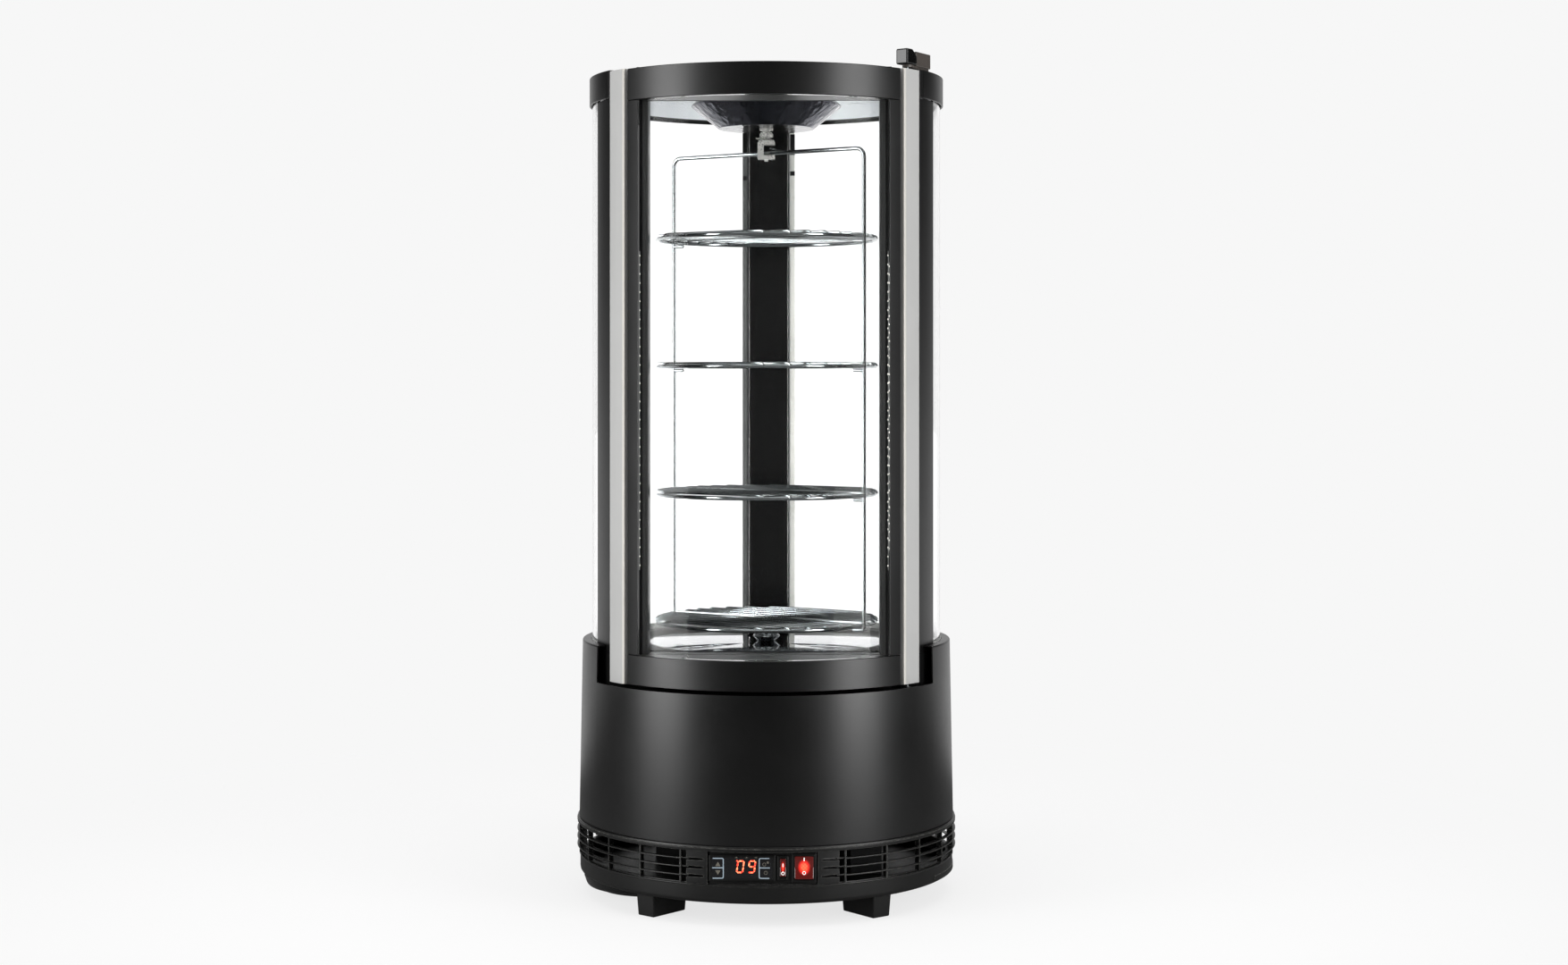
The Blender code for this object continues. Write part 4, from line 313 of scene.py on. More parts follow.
def made_mesh(name, shape):
    """The mesh of a bmesh, closed, outward and smooth but for its sharp edges."""
    bmesh.ops.remove_doubles(shape, verts=shape.verts, dist=0.000002)
    bmesh.ops.dissolve_degenerate(shape, edges=shape.edges, dist=0.000001)
    bmesh.ops.recalc_face_normals(shape, faces=shape.faces)
    mesh = bpy.data.meshes.new(name)
    shape.to_mesh(mesh)
    shape.free()
    mesh.shade_smooth()
    mesh.set_sharp_from_angle(angle=radians(SHARP_ANGLE))
    return mesh


def show(name, shape, finish, body, nodes=(), edge=0.0, segments=2):
    """Makes a piece from a bmesh; it rides on a body, stands for CAD nodes and may have rounded edges."""
    mesh = made_mesh(name, shape)
    mesh.materials.append(finish)
    piece = bpy.data.objects.new(name, mesh)
    put_in_scene(piece)
    if edge > 0.0:
        rounding = piece.modifiers.new("rounded_edges", "BEVEL")
        rounding.width = edge
        rounding.segments = segments
        rounding.limit_method = "ANGLE"
        rounding.angle_limit = radians(ROUNDED_ANGLE)
        rounding.harden_normals = True
    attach(piece, body)
    if nodes:
        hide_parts(*nodes)
    return piece


pan_low, pan_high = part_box("base_pan")
pan_radius = -pan_low.x
wall_radius = pan_radius - PAN_BEAD
pan_shape = swept(rounded([
    (0.0, pan_low.z),
    (wall_radius, pan_low.z, PAN_CORNER),
    (wall_radius, pan_high.z - PAN_BEAD_HEIGHT, 0.0004),
    (pan_radius, pan_high.z - PAN_BEAD_HEIGHT + PAN_BEAD, 0.0005),
    (pan_radius, pan_high.z, 0.0007),
    (wall_radius - PAN_WALL, pan_high.z, 0.0005),
    (wall_radius - PAN_WALL, pan_low.z + PAN_WALL, PAN_CORNER),
    (0.0, pan_low.z + PAN_WALL),
]))
step_low, step_high = (pan_low.z + level for level in PAN_STEP_LEVELS)
step_profile = rounded([
    (wall_radius - PAN_WALL / 2, step_low),
    (wall_radius + PAN_BEAD, step_low, 0.0005),
    (wall_radius + PAN_BEAD, step_high, 0.0005),
    (wall_radius - PAN_WALL / 2, step_high),
])
swept(step_profile, *PAN_STEP_ANGLES, steps=32, into=pan_shape)
show("base_pan_moulding", pan_shape, moulded_abs, "cabinet", ["base_pan"])


# Feet: four tapered blocks of the same ABS, pushed onto lugs under the pan and turned to its centre.
# Their soles and upright corners are the most rubbed edges on the case.
FOOT_EDGE = 0.0014
FOOT_TAPER = 0.93
FOOT_SIZE = (0.026, 0.057)
for number in range(1, 5):
    low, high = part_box(f"foot_{number}")
    middle = (low + high) / 2
    turn = Matrix.Rotation(atan2(middle.y, middle.x) + pi / 2, 4, "Z")
    block = Matrix.Diagonal((*FOOT_SIZE, high.z - low.z, 1.0))
    foot_shape = bmesh.new()
    for corner in bmesh.ops.create_cube(foot_shape, size=1.0, matrix=block)["verts"]:
        if corner.co.z < 0:
            corner.co.x *= FOOT_TAPER
            corner.co.y *= FOOT_TAPER
    bmesh.ops.transform(foot_shape, matrix=Matrix.Translation(middle) @ turn, verts=foot_shape.verts)
    show(f"foot_block_{number}", foot_shape, moulded_abs, "cabinet", [f"foot_{number}"],
         FOOT_EDGE, 3)


# Drip tray: a smooth black polypropylene dish that hangs under the left of the pan and catches defrost water.
# It is vacuum formed with one step, so its bottom is glossy and reads as a dark bulge behind the foot.
TRAY_WALL = 0.0018
TRAY_STEP = 0.0040
TRAY_SHOULDER = 0.019
formed_plastic = surface("vacuum_formed_polypropylene", ("#0e0e0e", "#161616"), (0.16, 0.30), 9.0, 0.05)
tray_low, tray_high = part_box("drip_tray")
tray_centre = ((tray_low.x + tray_high.x) / 2, (tray_low.y + tray_high.y) / 2)
tray_radius = (tray_high.x - tray_low.x) / 2
tray_bottom = tray_radius - TRAY_SHOULDER
tray_shape = swept(rounded([
    (0.0, tray_low.z),
    (tray_bottom, tray_low.z, 0.003),
    (tray_bottom + 0.001, tray_low.z + TRAY_STEP, 0.002),
    (tray_radius - 0.004, tray_low.z + TRAY_STEP * 1.15, 0.008),
    (tray_radius, tray_high.z - TRAY_WALL, 0.001),
    (tray_radius, tray_high.z),
    (tray_radius - 0.008, tray_high.z, 0.003),
    (tray_bottom - TRAY_WALL, tray_low.z + TRAY_STEP + TRAY_WALL, 0.002),
    (tray_bottom - TRAY_WALL, tray_low.z + TRAY_WALL, 0.002),
    (0.0, tray_low.z + TRAY_WALL),
], 6), steps=96, centre=tray_centre)
show("drip_tray_dish", tray_shape, formed_plastic, "cabinet", ["drip_tray"])


# Vent ring: one ABS moulding round the machine room, with a double lip, three thin slats and set-back ribs.
# Two cheeks flank the control bay; a tapered slot through each cheek carries on the line of every slat.
LIP_HEIGHT = 0.006
LIP_DEPTH = 0.009
LIP_BEAD = 0.0020
LIP_GROOVE = 0.0006
SLAT_COUNT = 3
SLAT_THICKNESS = 0.0015
SLAT_DEPTH = 0.0056
SLAT_OVERLAP = 0.35
BRIDGE_INSET = 0.0030
RIB_COUNT = 23
RIB_THICKNESS = 0.0018
RIB_SET_BACK = 0.0022
RIB_SINK = 0.0006
FIRST_RIB = 24.4
CHEEK_ANGLES = (15.9, 22.3)
CHEEK_SET_BACK = 0.0010
SLOT_HEIGHTS = (0.0032, 0.0024)
SLOT_END = 16.9
SLOT_TIP = 0.9
SLOT_DEPTH = 0.0080
BAND_DROP = 0.005
BAND_DEPTH = 0.0055
base_top, base_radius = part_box("vent_ring")[1].z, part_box("vent_ring")[1].x
lip_bottom = base_top - LIP_HEIGHT
bead_bottom = base_top - LIP_BEAD
vent_shape = swept(rounded([
    (base_radius - LIP_DEPTH, lip_bottom),
    (base_radius - 0.0002, lip_bottom, 0.0005),
    (base_radius, bead_bottom - LIP_GROOVE, 0.0004),
    (base_radius - LIP_GROOVE, bead_bottom - LIP_GROOVE / 2),
    (base_radius - LIP_GROOVE, bead_bottom),
    (base_radius - 0.0003, bead_bottom + 0.0001, 0.0002),
    (base_radius - 0.0008, base_top, 0.0010),
    (base_radius - LIP_DEPTH, base_top),
]))
band_radius = wall_radius - PAN_WALL - 0.0004
band_profile = rounded([
    (band_radius - BAND_DEPTH, pan_high.z - BAND_DROP),
    (band_radius, pan_high.z - BAND_DROP),
    (band_radius, pan_high.z + 0.001, 0.0004),
    (band_radius - BAND_DEPTH, pan_high.z + 0.001, 0.0004),
])
swept(band_profile, into=vent_shape)
slat_pitch = (lip_bottom - pan_high.z) / (SLAT_COUNT + 1)
slat_levels = [pan_high.z + slat_pitch * (number + 1) for number in range(SLAT_COUNT)]
slat_start = FIRST_RIB - SLAT_OVERLAP
for level in slat_levels:
    half = SLAT_THICKNESS / 2
    slat_profile = rounded([
        (base_radius - SLAT_DEPTH, level - half * 0.6),
        (base_radius, level - half, 0.0005),
        (base_radius, level + half, 0.0006),
        (base_radius - SLAT_DEPTH, level + half * 0.6),
    ])
    swept(slat_profile, slat_start, FULL_TURN - FIRST_RIB + SLAT_OVERLAP, 216, into=vent_shape)
    bridge_profile = [(r - BRIDGE_INSET, z) for r, z in slat_profile]
    for side in (1, -1):
        swept(bridge_profile, side * (CHEEK_ANGLES[1] - 0.5), side * (FIRST_RIB + 0.1), 3, into=vent_shape)
rib_inner, rib_outer = base_radius - LIP_DEPTH + 0.001, base_radius - RIB_SET_BACK
rib_low, rib_high = pan_high.z + RIB_SINK, lip_bottom + RIB_SINK
rib_size = Matrix.Diagonal((RIB_THICKNESS, rib_outer - rib_inner, rib_high - rib_low, 1.0))
for number in range(RIB_COUNT):
    angle = FIRST_RIB + (FULL_TURN - 2 * FIRST_RIB) * number / (RIB_COUNT - 1)
    spot = Matrix.Translation(around(angle, (rib_inner + rib_outer) / 2, (rib_low + rib_high) / 2))
    rib_place = spot @ Matrix.Rotation(radians(angle), 4, "Z")
    bmesh.ops.create_cube(vent_shape, size=1.0, matrix=rib_place @ rib_size)
show("vent_ring_moulding", vent_shape, moulded_abs, "cabinet", ["vent_ring"])


def carve(piece, cutter_shape):
    """Cuts a bmesh out of a piece for good."""
    cutter = bpy.data.objects.new("cutter", made_mesh("cutter", cutter_shape))
    put_in_scene(cutter)
    step = piece.modifiers.new("cut", "BOOLEAN")
    step.operation = "DIFFERENCE"
    step.solver = "EXACT"
    step.object = cutter
    bpy.context.view_layer.update()
    result = bpy.data.meshes.new_from_object(piece.evaluated_get(bpy.context.evaluated_depsgraph_get()))
    piece.modifiers.remove(step)
    piece.data = result
    result.set_sharp_from_angle(angle=radians(SHARP_ANGLE))
    bpy.data.objects.remove(cutter, do_unlink=True)


cheek_radius = base_radius - CHEEK_SET_BACK
cheek_profile = rounded([
    (rib_inner, rib_low),
    (cheek_radius, rib_low, 0.0006),
    (cheek_radius, rib_high),
    (rib_inner, rib_high),
])
slot_start = CHEEK_ANGLES[1] + 0.6
wide, narrow = (size / 2 for size in SLOT_HEIGHTS)
for side, label in ((1, "right"), (-1, "left")):
    cheek_shape = swept(cheek_profile, *(side * angle for angle in CHEEK_ANGLES), 10)
    cheek = show(f"vent_cheek_{label}", cheek_shape, moulded_abs, "cabinet")
    slots = bmesh.new()
    for level in slat_levels:
        outline = rounded([
            (slot_start, level - wide),
            (SLOT_END + SLOT_TIP, level - narrow),
            (SLOT_END, level - narrow * 0.5),
            (SLOT_END, level + narrow * 0.5),
            (SLOT_END + SLOT_TIP, level + narrow),
            (slot_start, level + wide),
        ])
        skin([[around(side * angle, radius, z) for angle, z in outline]
              for radius in (cheek_radius - SLOT_DEPTH, base_radius + 0.002)], into=slots)
    carve(cheek, slots)


# Control panel: the flat ABS plate of the bay, pressed into the ring behind its lip.
# Its CAD plate has the right shape; it only gets a smoother and shinier moulding grain than the ring.
panel_abs = surface("smooth_moulded_abs", ("#0a0a0a", "#10100f"), (0.32, 0.42), 2.2, 0.01,
                    constants={"Specular IOR Level": 0.28})


def finish_node(name, finish):
    """Puts a finish on a CAD node that stays as it is."""
    slots = frame["nodes"][name].data.materials
    slots.clear()
    slots.append(finish)


finish_node("control_panel", panel_abs)
finish_node("cable_gland", moulded_abs)


# Temperature controller: a snap-in unit with a bevelled ABS bezel round a glossy membrane window.
# The membrane carries printed key frames, arrows and dull icons, and red figures shine through it.
BODY_INSET = 0.0022
BEZEL_BORDER = 0.0022
BEZEL_CHAMFER = 0.0010
BEZEL_CORNER = 0.0008
BEZEL_SINK = 0.0003
BODY_SINK = 0.0004
WINDOW_SINK = 0.0005
WINDOW_GAP = 0.0006
PRINT_HEIGHT = 0.00012
PRINT_SINK = 0.00008
FRAME_STROKE = 0.0011
KEY_FRAME_TOP, KEY_FRAME_MIDDLE, KEY_FRAME_BOTTOM = 0.0107, 0.0002, -0.0113
KEY_FRAME_SPANS = ((-0.0325, -0.0208), (0.0302, 0.0190))
KEY_FRAME_CORNER = 0.0018
KEY_FRAME_OVERHANG = 0.0006
ARROW_SPOTS = ((-0.0268, 0.0044, 1), (-0.0268, -0.0050, -1))
ARROW_SIZE = 0.0030
ICON_ROW = 0.0121
ICON_COLUMNS = (-0.0064, 0.0050, 0.0153)
ICON_STROKE = 0.0004
SUN_CORE, SUN_RAYS = 0.0009, (0.0013, 0.0019)
RING_STROKE = 0.0005
LAMP_ICON = (0.0246, 0.0040)
LAMP_DOT = (0.0285, 0.0062)
CLOCK_ICON = (0.0262, -0.0052)
DIGIT_HEIGHT = 0.0126
DIGIT_WIDTH = 0.0066
DIGIT_STROKE = 0.0017
DIGIT_SLANT = 0.13
DIGIT_BASE = -0.0048
DIGIT_STARTS = (-0.0060, 0.0067)
FIGURES = {"0": "abcdef", "9": "abcdfg"}
BARS = {"a": ((0, 2), (1, 2)), "b": ((1, 2), (1, 1)), "c": ((1, 1), (1, 0)), "d": ((0, 0), (1, 0)),
        "e": ((0, 1), (0, 0)), "f": ((0, 2), (0, 1)), "g": ((0, 1), (1, 1))}


def rectangle(width, height, radius, steps=5):
    """A rounded rectangle about (0, 0)."""
    u, v = width / 2, height / 2
    return rounded([(-u, -v, radius), (u, -v, radius), (u, v, radius), (-u, v, radius)], steps)


def upright(outline, centre, depths, into=None):
    """An outline about a spot (x, z) of an upright face, made thick between two depths y."""
    return skin([[(centre[0] + u, y, centre[1] + v) for u, v in outline] for y in depths], into=into)


def bezel(centre, size, back, front, corner, border, chamfer, sink):
    """A snap-in frame: a body in the panel, a bevelled border and a sunk window."""
    loops = []
    for inset, depth, radius in ((0.0, back, corner), (0.0, front + chamfer * 0.6, corner),
                                 (chamfer, front, corner - chamfer / 2), (border, front, corner),
                                 (border + 0.0003, front + sink, corner)):
        outline = rectangle(size[0] - 2 * inset, size[1] - 2 * inset, max(0.0002, radius))
        loops.append([(centre[0] + u, depth, centre[1] + v) for u, v in outline])
    return skin(loops)


# Screen-printed membrane: a clear gloss film over black ink, so it mirrors the room sharply
gloss_film = surface("gloss_black_membrane", ("#0a0a0b", "#101012"), (0.08, 0.16), 12.0, 0.01)
# Printed ink: flat pale blue and dull khaki lines, a little uneven in tone as screen print is
ink_blue = surface("pale_blue_screen_ink", ("#74818b", "#88959f"), (0.5, 0.62), 1.4, 0.004)
ink_khaki = surface("khaki_screen_ink", ("#48443c", "#57534a"), (0.55, 0.65), 1.4, 0.004)
# Lit figures: light-emitting segments under a red filter, paler where the diode sits in the bar
lit_red, tree, shader = principled("lit_red_segments", {"Roughness": 0.4, "Emission Strength": 0.9})
place = add(tree, "TexCoord").outputs["Object"]
spots = add(tree, "TexNoise", {"Vector": place, "Scale": 420.0, "Detail": 1.0}).outputs[0]
bright = add(tree, "MapRange", {0: spots, 1: 0.4, 2: 0.6, 3: 0.0, 4: 1.0}).outputs[0]
glowing = add(tree, "Mix", {0: bright, 6: linear("#ff2a18"), 7: linear("#ff8a5c")},
              data_type="RGBA").outputs[2]
tree.links.new(glowing, shader.inputs["Emission Color"])
tree.links.new(glowing, shader.inputs["Base Color"])

unit_low, unit_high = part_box("controller")
unit_x, unit_z = (unit_low.x + unit_high.x) / 2, (unit_low.z + unit_high.z) / 2
unit_centre = (unit_x, unit_z)
unit_size = (unit_high.x - unit_low.x, unit_high.z - unit_low.z)
panel_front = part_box("control_panel")[0].y
unit_shape = bezel(unit_centre, unit_size, panel_front - BEZEL_SINK, unit_low.y,
                   BEZEL_CORNER, BEZEL_BORDER, BEZEL_CHAMFER, WINDOW_SINK)
body_loop = rectangle(*(size - 2 * BODY_INSET for size in unit_size), BEZEL_CORNER)
upright(body_loop, unit_centre, (panel_front - BODY_SINK, unit_high.y), unit_shape)
show("controller_housing", unit_shape, panel_abs, "cabinet", ["controller"], 0.00015)

window_face = unit_low.y + WINDOW_SINK - PRINT_HEIGHT
window_loop = rectangle(*(size - 2 * (BEZEL_BORDER + WINDOW_GAP) for size in unit_size), BEZEL_CORNER)
window_shape = upright(window_loop, unit_centre, (unit_low.y + WINDOW_SINK + 0.0002, window_face))
show("controller_membrane", window_shape, gloss_film, "cabinet")


def on_window(shape, outline, u=0.0, v=0.0, lift=0.0):
    """Adds a thin flat print on the window, an outline about a spot of it."""
    face = window_face - lift
    upright(outline, (unit_x + u, unit_z + v), (face + PRINT_SINK, face - PRINT_HEIGHT), shape)


def stroke(path, width, closed=False):
    """The left and right edge of a line of some width along a path of (u, v) points."""
    count = len(path)
    left, right = [], []
    for i, (u, v) in enumerate(path):
        before = path[i - 1] if i > 0 or closed else path[0]
        after = path[(i + 1) % count] if i < count - 1 or closed else path[-1]
        du, dv = after[0] - before[0], after[1] - before[1]
        aside, up = (part / hypot(du, dv) * width / 2 for part in (dv, du))
        left.append((u - aside, v + up))
        right.append((u + aside, v - up))
    return left, right


def line_on_window(shape, path, width, u=0.0, v=0.0, lift=0.0, closed=False):
    """Adds a printed line along a path, with a face for each stretch so that it may close on itself."""
    back, front = window_face - lift + PRINT_SINK, window_face - lift - PRINT_HEIGHT
    rings = [[(unit_x + u + p[0], y, unit_z + v + p[1])
              for p, y in ((a, back), (b, back), (b, front), (a, front))]
             for a, b in zip(*stroke(path, width, closed))]
    skin(rings, closed, shape)


def circle(radius, sides=24):
    """Points of a circle."""
    turns = [2 * pi * i / sides for i in range(sides)]
    return [(radius * cos(t), radius * sin(t)) for t in turns]


key_frames = bmesh.new()
for outer, inner in KEY_FRAME_SPANS:
    corners = [(outer, KEY_FRAME_TOP), (inner, KEY_FRAME_TOP, KEY_FRAME_CORNER),
               (inner, KEY_FRAME_BOTTOM, KEY_FRAME_CORNER), (outer, KEY_FRAME_BOTTOM)]
    line_on_window(key_frames, rounded(corners, 6), FRAME_STROKE)
    overhang = KEY_FRAME_OVERHANG if outer > 0 else -KEY_FRAME_OVERHANG
    middle = [(outer + overhang, KEY_FRAME_MIDDLE), (inner, KEY_FRAME_MIDDLE)]
    line_on_window(key_frames, middle, FRAME_STROKE, lift=0.00002)
show("controller_key_frames", key_frames, ink_blue, "cabinet")

icons = bmesh.new()
for u, v, way in ARROW_SPOTS:
    foot = -ARROW_SIZE * 0.8 * way
    tip = ARROW_SIZE * 0.85 * way
    on_window(icons, rounded([(-ARROW_SIZE, foot, 0.0003), (ARROW_SIZE, foot, 0.0003), (0.0, tip, 0.0003)]), u, v)
for column in ICON_COLUMNS:
    on_window(icons, circle(SUN_CORE), column, ICON_ROW)
    for number in range(8):
        ray = [(reach * cos(number * pi / 4), reach * sin(number * pi / 4)) for reach in SUN_RAYS]
        line_on_window(icons, ray, ICON_STROKE, column, ICON_ROW)
line_on_window(icons, circle(0.0017), RING_STROKE, *LAMP_ICON, closed=True)
on_window(icons, circle(0.0013), *LAMP_DOT)
line_on_window(icons, circle(0.0019), RING_STROKE, *CLOCK_ICON, closed=True)
line_on_window(icons, [(0.0, 0.0), (0.0, 0.0013)], ICON_STROKE, *CLOCK_ICON)
show("controller_icons", icons, ink_khaki, "cabinet")

figures = bmesh.new()
for figure, start in zip("09", DIGIT_STARTS):
    for bar in FIGURES[figure]:
        a, b = (Vector((u * DIGIT_WIDTH, v * DIGIT_HEIGHT / 2)) for u, v in BARS[bar])
        along = (b - a).normalized()
        across = Vector((-along.y, along.x)) * DIGIT_STROKE / 2
        tip, neck = along * DIGIT_STROKE * 0.16, along * DIGIT_STROKE * 0.62
        corners = [a + tip, a + neck + across, b - neck + across, b - tip, b - neck - across, a + neck - across]
        on_window(figures, [(start + p.x + p.y * DIGIT_SLANT, DIGIT_BASE + p.y) for p in corners])
on_window(figures, circle(0.0008), DIGIT_STARTS[0] + 0.0004, DIGIT_BASE + DIGIT_HEIGHT + 0.0003, 0.00003)
show("controller_figures", figures, lit_red, "cabinet")


# Rocker switches: a narrow one for the light and a wide lit one for the power, snapped into the panel.
# Each has an ABS bezel and a red polycarbonate rocker that glows from a lamp behind it; I and O are printed.
ROCKER_TILT = 9.0
ROCKER_RISE = 0.0046
ROCKER_DEPTH = 0.0045
ROCKER_EDGE = 0.0009
ROCKER_GAP = 0.0003
SWITCH_CORNER, SWITCH_CHAMFER, SWITCH_SINK = 0.0010, 0.0009, 0.0016
SWITCH_BODY_INSET = 0.003
MARK_STROKE = 0.00065
MARK_SINK, MARK_RISE = 0.00006, 0.00018
BAR_MARK = [(0.0, -0.0019), (0.0, 0.0019)]
RING_MARK = circle(0.0016, 20)
SWITCHES = {
    "light": {"rocker": (0.0065, 0.0196), "glow": 0.30, "marks": (0.0026, -0.0062)},
    "power": {"rocker": (0.0205, 0.0250), "glow": 1.0, "marks": (0.0092, -0.0056)},
}
mark_white = surface("white_pad_print", ("#dededa", "#f2f2ef"), (0.45, 0.55), 1.2, 0.003)


def red_lens(name, lamp):
    """Red polycarbonate over a lamp: deep red at the rim, orange in the middle, with moulded prisms behind; its
    own colour is also darker at the rim, as painted shade.
    """
    made, tree, shader = principled(name, {"Roughness": 0.22, "Emission Strength": lamp,
                                           "Coat Weight": 0.4, "Coat Roughness": 0.08})
    place = add(tree, "TexCoord").outputs
    off = add(tree, "VectorMath", {0: place["Generated"], 1: (0.5, 0.5, 0.52)}, operation="SUBTRACT").outputs[0]
    flat = add(tree, "VectorMath", {0: off, 1: (2.6, 0.0, 2.5)}, operation="MULTIPLY").outputs[0]
    far = add(tree, "VectorMath", {0: flat}, operation="LENGTH").outputs["Value"]
    prisms = add(tree, "TexChecker", {"Vector": place["Object"], "Scale": 520.0}).outputs[1]
    near = add(tree, "MapRange", {0: far, 1: 0.98, 2: 0.25, 3: 0.0, 4: 1.0},
               interpolation_type="SMOOTHSTEP").outputs[0]
    cell = add(tree, "MapRange", {0: prisms, 1: 0.0, 2: 1.0, 3: 0.82, 4: 1.0}).outputs[0]
    ramp = add(tree, "ValToRGB", {0: add(tree, "Math", {0: near, 1: cell}, operation="MULTIPLY").outputs[0]})
    ramp.color_ramp.elements[0].color = linear("#3a0705")
    ramp.color_ramp.elements[1].color = linear("#ff7a4e")
    ramp.color_ramp.elements.new(0.55).color = linear("#e3261c")
    tree.links.new(ramp.outputs[0], shader.inputs["Emission Color"])
    # The base colour darkens towards the rim as well: painted shade at the rocker's rim.
    tint = add(tree, "Mix", {0: near, 6: linear("#3c0c0a"), 7: linear("#c81f18")},
               data_type="RGBA").outputs[2]
    tree.links.new(tint, shader.inputs["Base Color"])
    return made


tilt = radians(ROCKER_TILT)
for label, sizes in SWITCHES.items():
    low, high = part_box(f"{label}_switch_housing")
    centre = ((low.x + high.x) / 2, (low.z + high.z) / 2)
    size = (high.x - low.x, high.z - low.z)
    width, height = sizes["rocker"]
    border = (size[0] - width) / 2 - ROCKER_GAP
    housing = bezel(centre, size, panel_front - BEZEL_SINK, low.y,
                    SWITCH_CORNER, border, SWITCH_CHAMFER, SWITCH_SINK)
    back_loop = rectangle(size[0] - SWITCH_BODY_INSET, size[1] - SWITCH_BODY_INSET, BEZEL_CORNER)
    upright(back_loop, centre, (panel_front - BODY_SINK, high.y), housing)
    show(f"{label}_switch_bezel", housing, panel_abs, "cabinet", [f"{label}_switch_housing"])

    pivot = Vector(next(joint["pos_m"] for joint in frame["joints"] if joint["name"] == f"{label}_rocker_tip"))
    half = height / 2
    front = ROCKER_RISE + half * sin(tilt) / 2

    def on_rocker(u, v, w):
        """A point of the rocker: u up its face, v out of it, w across, tipped to its ON side."""
        return (pivot.x + w, pivot.y + u * sin(tilt) + v * cos(tilt), pivot.z + u * cos(tilt) - v * sin(tilt))

    side_outline = rounded([
        (-half, -front, 0.0007),
        (0.0, -front + half * sin(tilt), 0.006),
        (half, -front, 0.0007),
        (half * 0.8, ROCKER_DEPTH, 0.0005),
        (-half * 0.8, ROCKER_DEPTH, 0.0005),
    ], 6)
    insets = [(0.0, ROCKER_EDGE), (ROCKER_EDGE * 0.3, ROCKER_EDGE * 0.3), (ROCKER_EDGE, 0.0)]
    stations = [(-width / 2 + shift, inset) for inset, shift in reversed(insets)]
    stations += [(width / 2 - shift, inset) for inset, shift in insets]
    rocker = skin([[on_rocker(u * (1 - 2 * inset / height), v * (1 - inset / front * 0.5), across)
                    for u, v in side_outline] for across, inset in stations])
    lens = red_lens(f"red_polycarbonate_{label}", sizes["glow"])
    show(f"{label}_rocker_lens", rocker, lens, f"{label}_rocker", [f"{label}_rocker"])

    marks = bmesh.new()
    bar_at, ring_at = sizes["marks"]
    for spot, path, line, closed in ((bar_at, BAR_MARK, MARK_STROKE * 1.6, False),
                                     (ring_at, RING_MARK, MARK_STROKE, True)):
        rings = []
        for a, b in zip(*stroke(path, line, closed)):
            rings.append([])
            for (across, up), rise in ((a, 0.0), (b, 0.0), (b, MARK_RISE), (a, MARK_RISE)):
                face = -front + (half - abs(spot + up)) * sin(tilt)
                rings[-1].append(on_rocker(spot + up, face + MARK_SINK - rise, across))
        skin(rings, closed, marks)
    show(f"{label}_rocker_marks", marks, mark_white, f"{label}_rocker")


# Skirt: a rolled and slightly tapered steel sheet with its rim turned in and a notch for the door.
# It is powder coated satin black, so the soft boxes at both sides draw wide soft bands on it.
SKIRT_BOTTOM_RADIUS = 0.2224
SKIRT_TOP_RADIUS = 0.2185
SKIRT_SHEET = 0.0015
RIM_INNER_RADIUS = 0.2085
RIM_ROUND = 0.0022
NOTCH_ANGLE = 62.2
NOTCH_DEPTH = 0.0425
NOTCH_MARGIN = 0.02

# Powder coat: baked satin black paint; its orange peel is about 1.5 mm, drawn at 4 mm so that it shows
powder_coat = surface("satin_black_powder_coat", ("#060606", "#080808"), (0.33, 0.38), 4.0, 0.006)

skirt_low, skirt_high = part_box("skirt")
rim_bottom = skirt_high.z - SKIRT_SHEET
skirt_shape = swept(rounded([
    (SKIRT_BOTTOM_RADIUS - SKIRT_SHEET, skirt_low.z),
    (SKIRT_BOTTOM_RADIUS, skirt_low.z, 0.0003),
    (SKIRT_TOP_RADIUS, skirt_high.z, RIM_ROUND),
    (RIM_INNER_RADIUS, skirt_high.z),
    (RIM_INNER_RADIUS, rim_bottom),
    (SKIRT_TOP_RADIUS - SKIRT_SHEET, rim_bottom, RIM_ROUND / 2),
], 6))
skirt = show("skirt_sheet", skirt_shape, powder_coat, "cabinet", ["skirt"])
notch_inner, notch_outer = RIM_INNER_RADIUS - NOTCH_MARGIN, SKIRT_BOTTOM_RADIUS + NOTCH_MARGIN
notch_low, notch_high = skirt_high.z - NOTCH_DEPTH, skirt_high.z + NOTCH_MARGIN
notch_profile = [(notch_inner, notch_low), (notch_outer, notch_low),
                 (notch_outer, notch_high), (notch_inner, notch_high)]
carve(skirt, swept(notch_profile, -NOTCH_ANGLE, NOTCH_ANGLE, 84))


# Insulated floor: a foamed core in black painted sheet; the CAD solid shows in the corners of the door's notch.
# The front frame that the door closes on is a flat welded one with the same powder coat.
finish_node("insulated_floor", powder_coat)
finish_node("front_frame", powder_coat)


# Cabin floor: a black moulded ring with fine concentric steps round a mirror polished steel disc.
# A chromed eight-sided knob stands in the middle; ring and disc are cut straight behind the door.
GAP = 0.0003
FAR = 0.3
CUT_MARGIN = 0.01
DISC_RADIUS = 0.139
FLOOR_RING_STEPS = (0.1435, 0.149, 0.1545, 0.160, 0.1655, 0.171)
STEP_SECTION = ((0.0022, 0.0), (0.0017, 0.0006), (0.0005, 0.0006), (0.0, 0.0))
FLOOR_RING_EDGE = 0.0004
FLOOR_RING_SINK = 0.001
FLOOR_RING_RIM = 0.012
KNOB_SIDES = 8
KNOB_RINGS = ((0.62, 0.0, 0.0), (1.0, 0.45, 0.0), (0.85, 0.72, 22.5), (0.35, 1.0, 22.5))
POST_INNER_RADIUS = 0.192
POST_ANGLES = (58.0, 71.0)
frame_low, frame_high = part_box("front_frame")
front_plane = frame_high.y + GAP
frame_half = frame_high.x


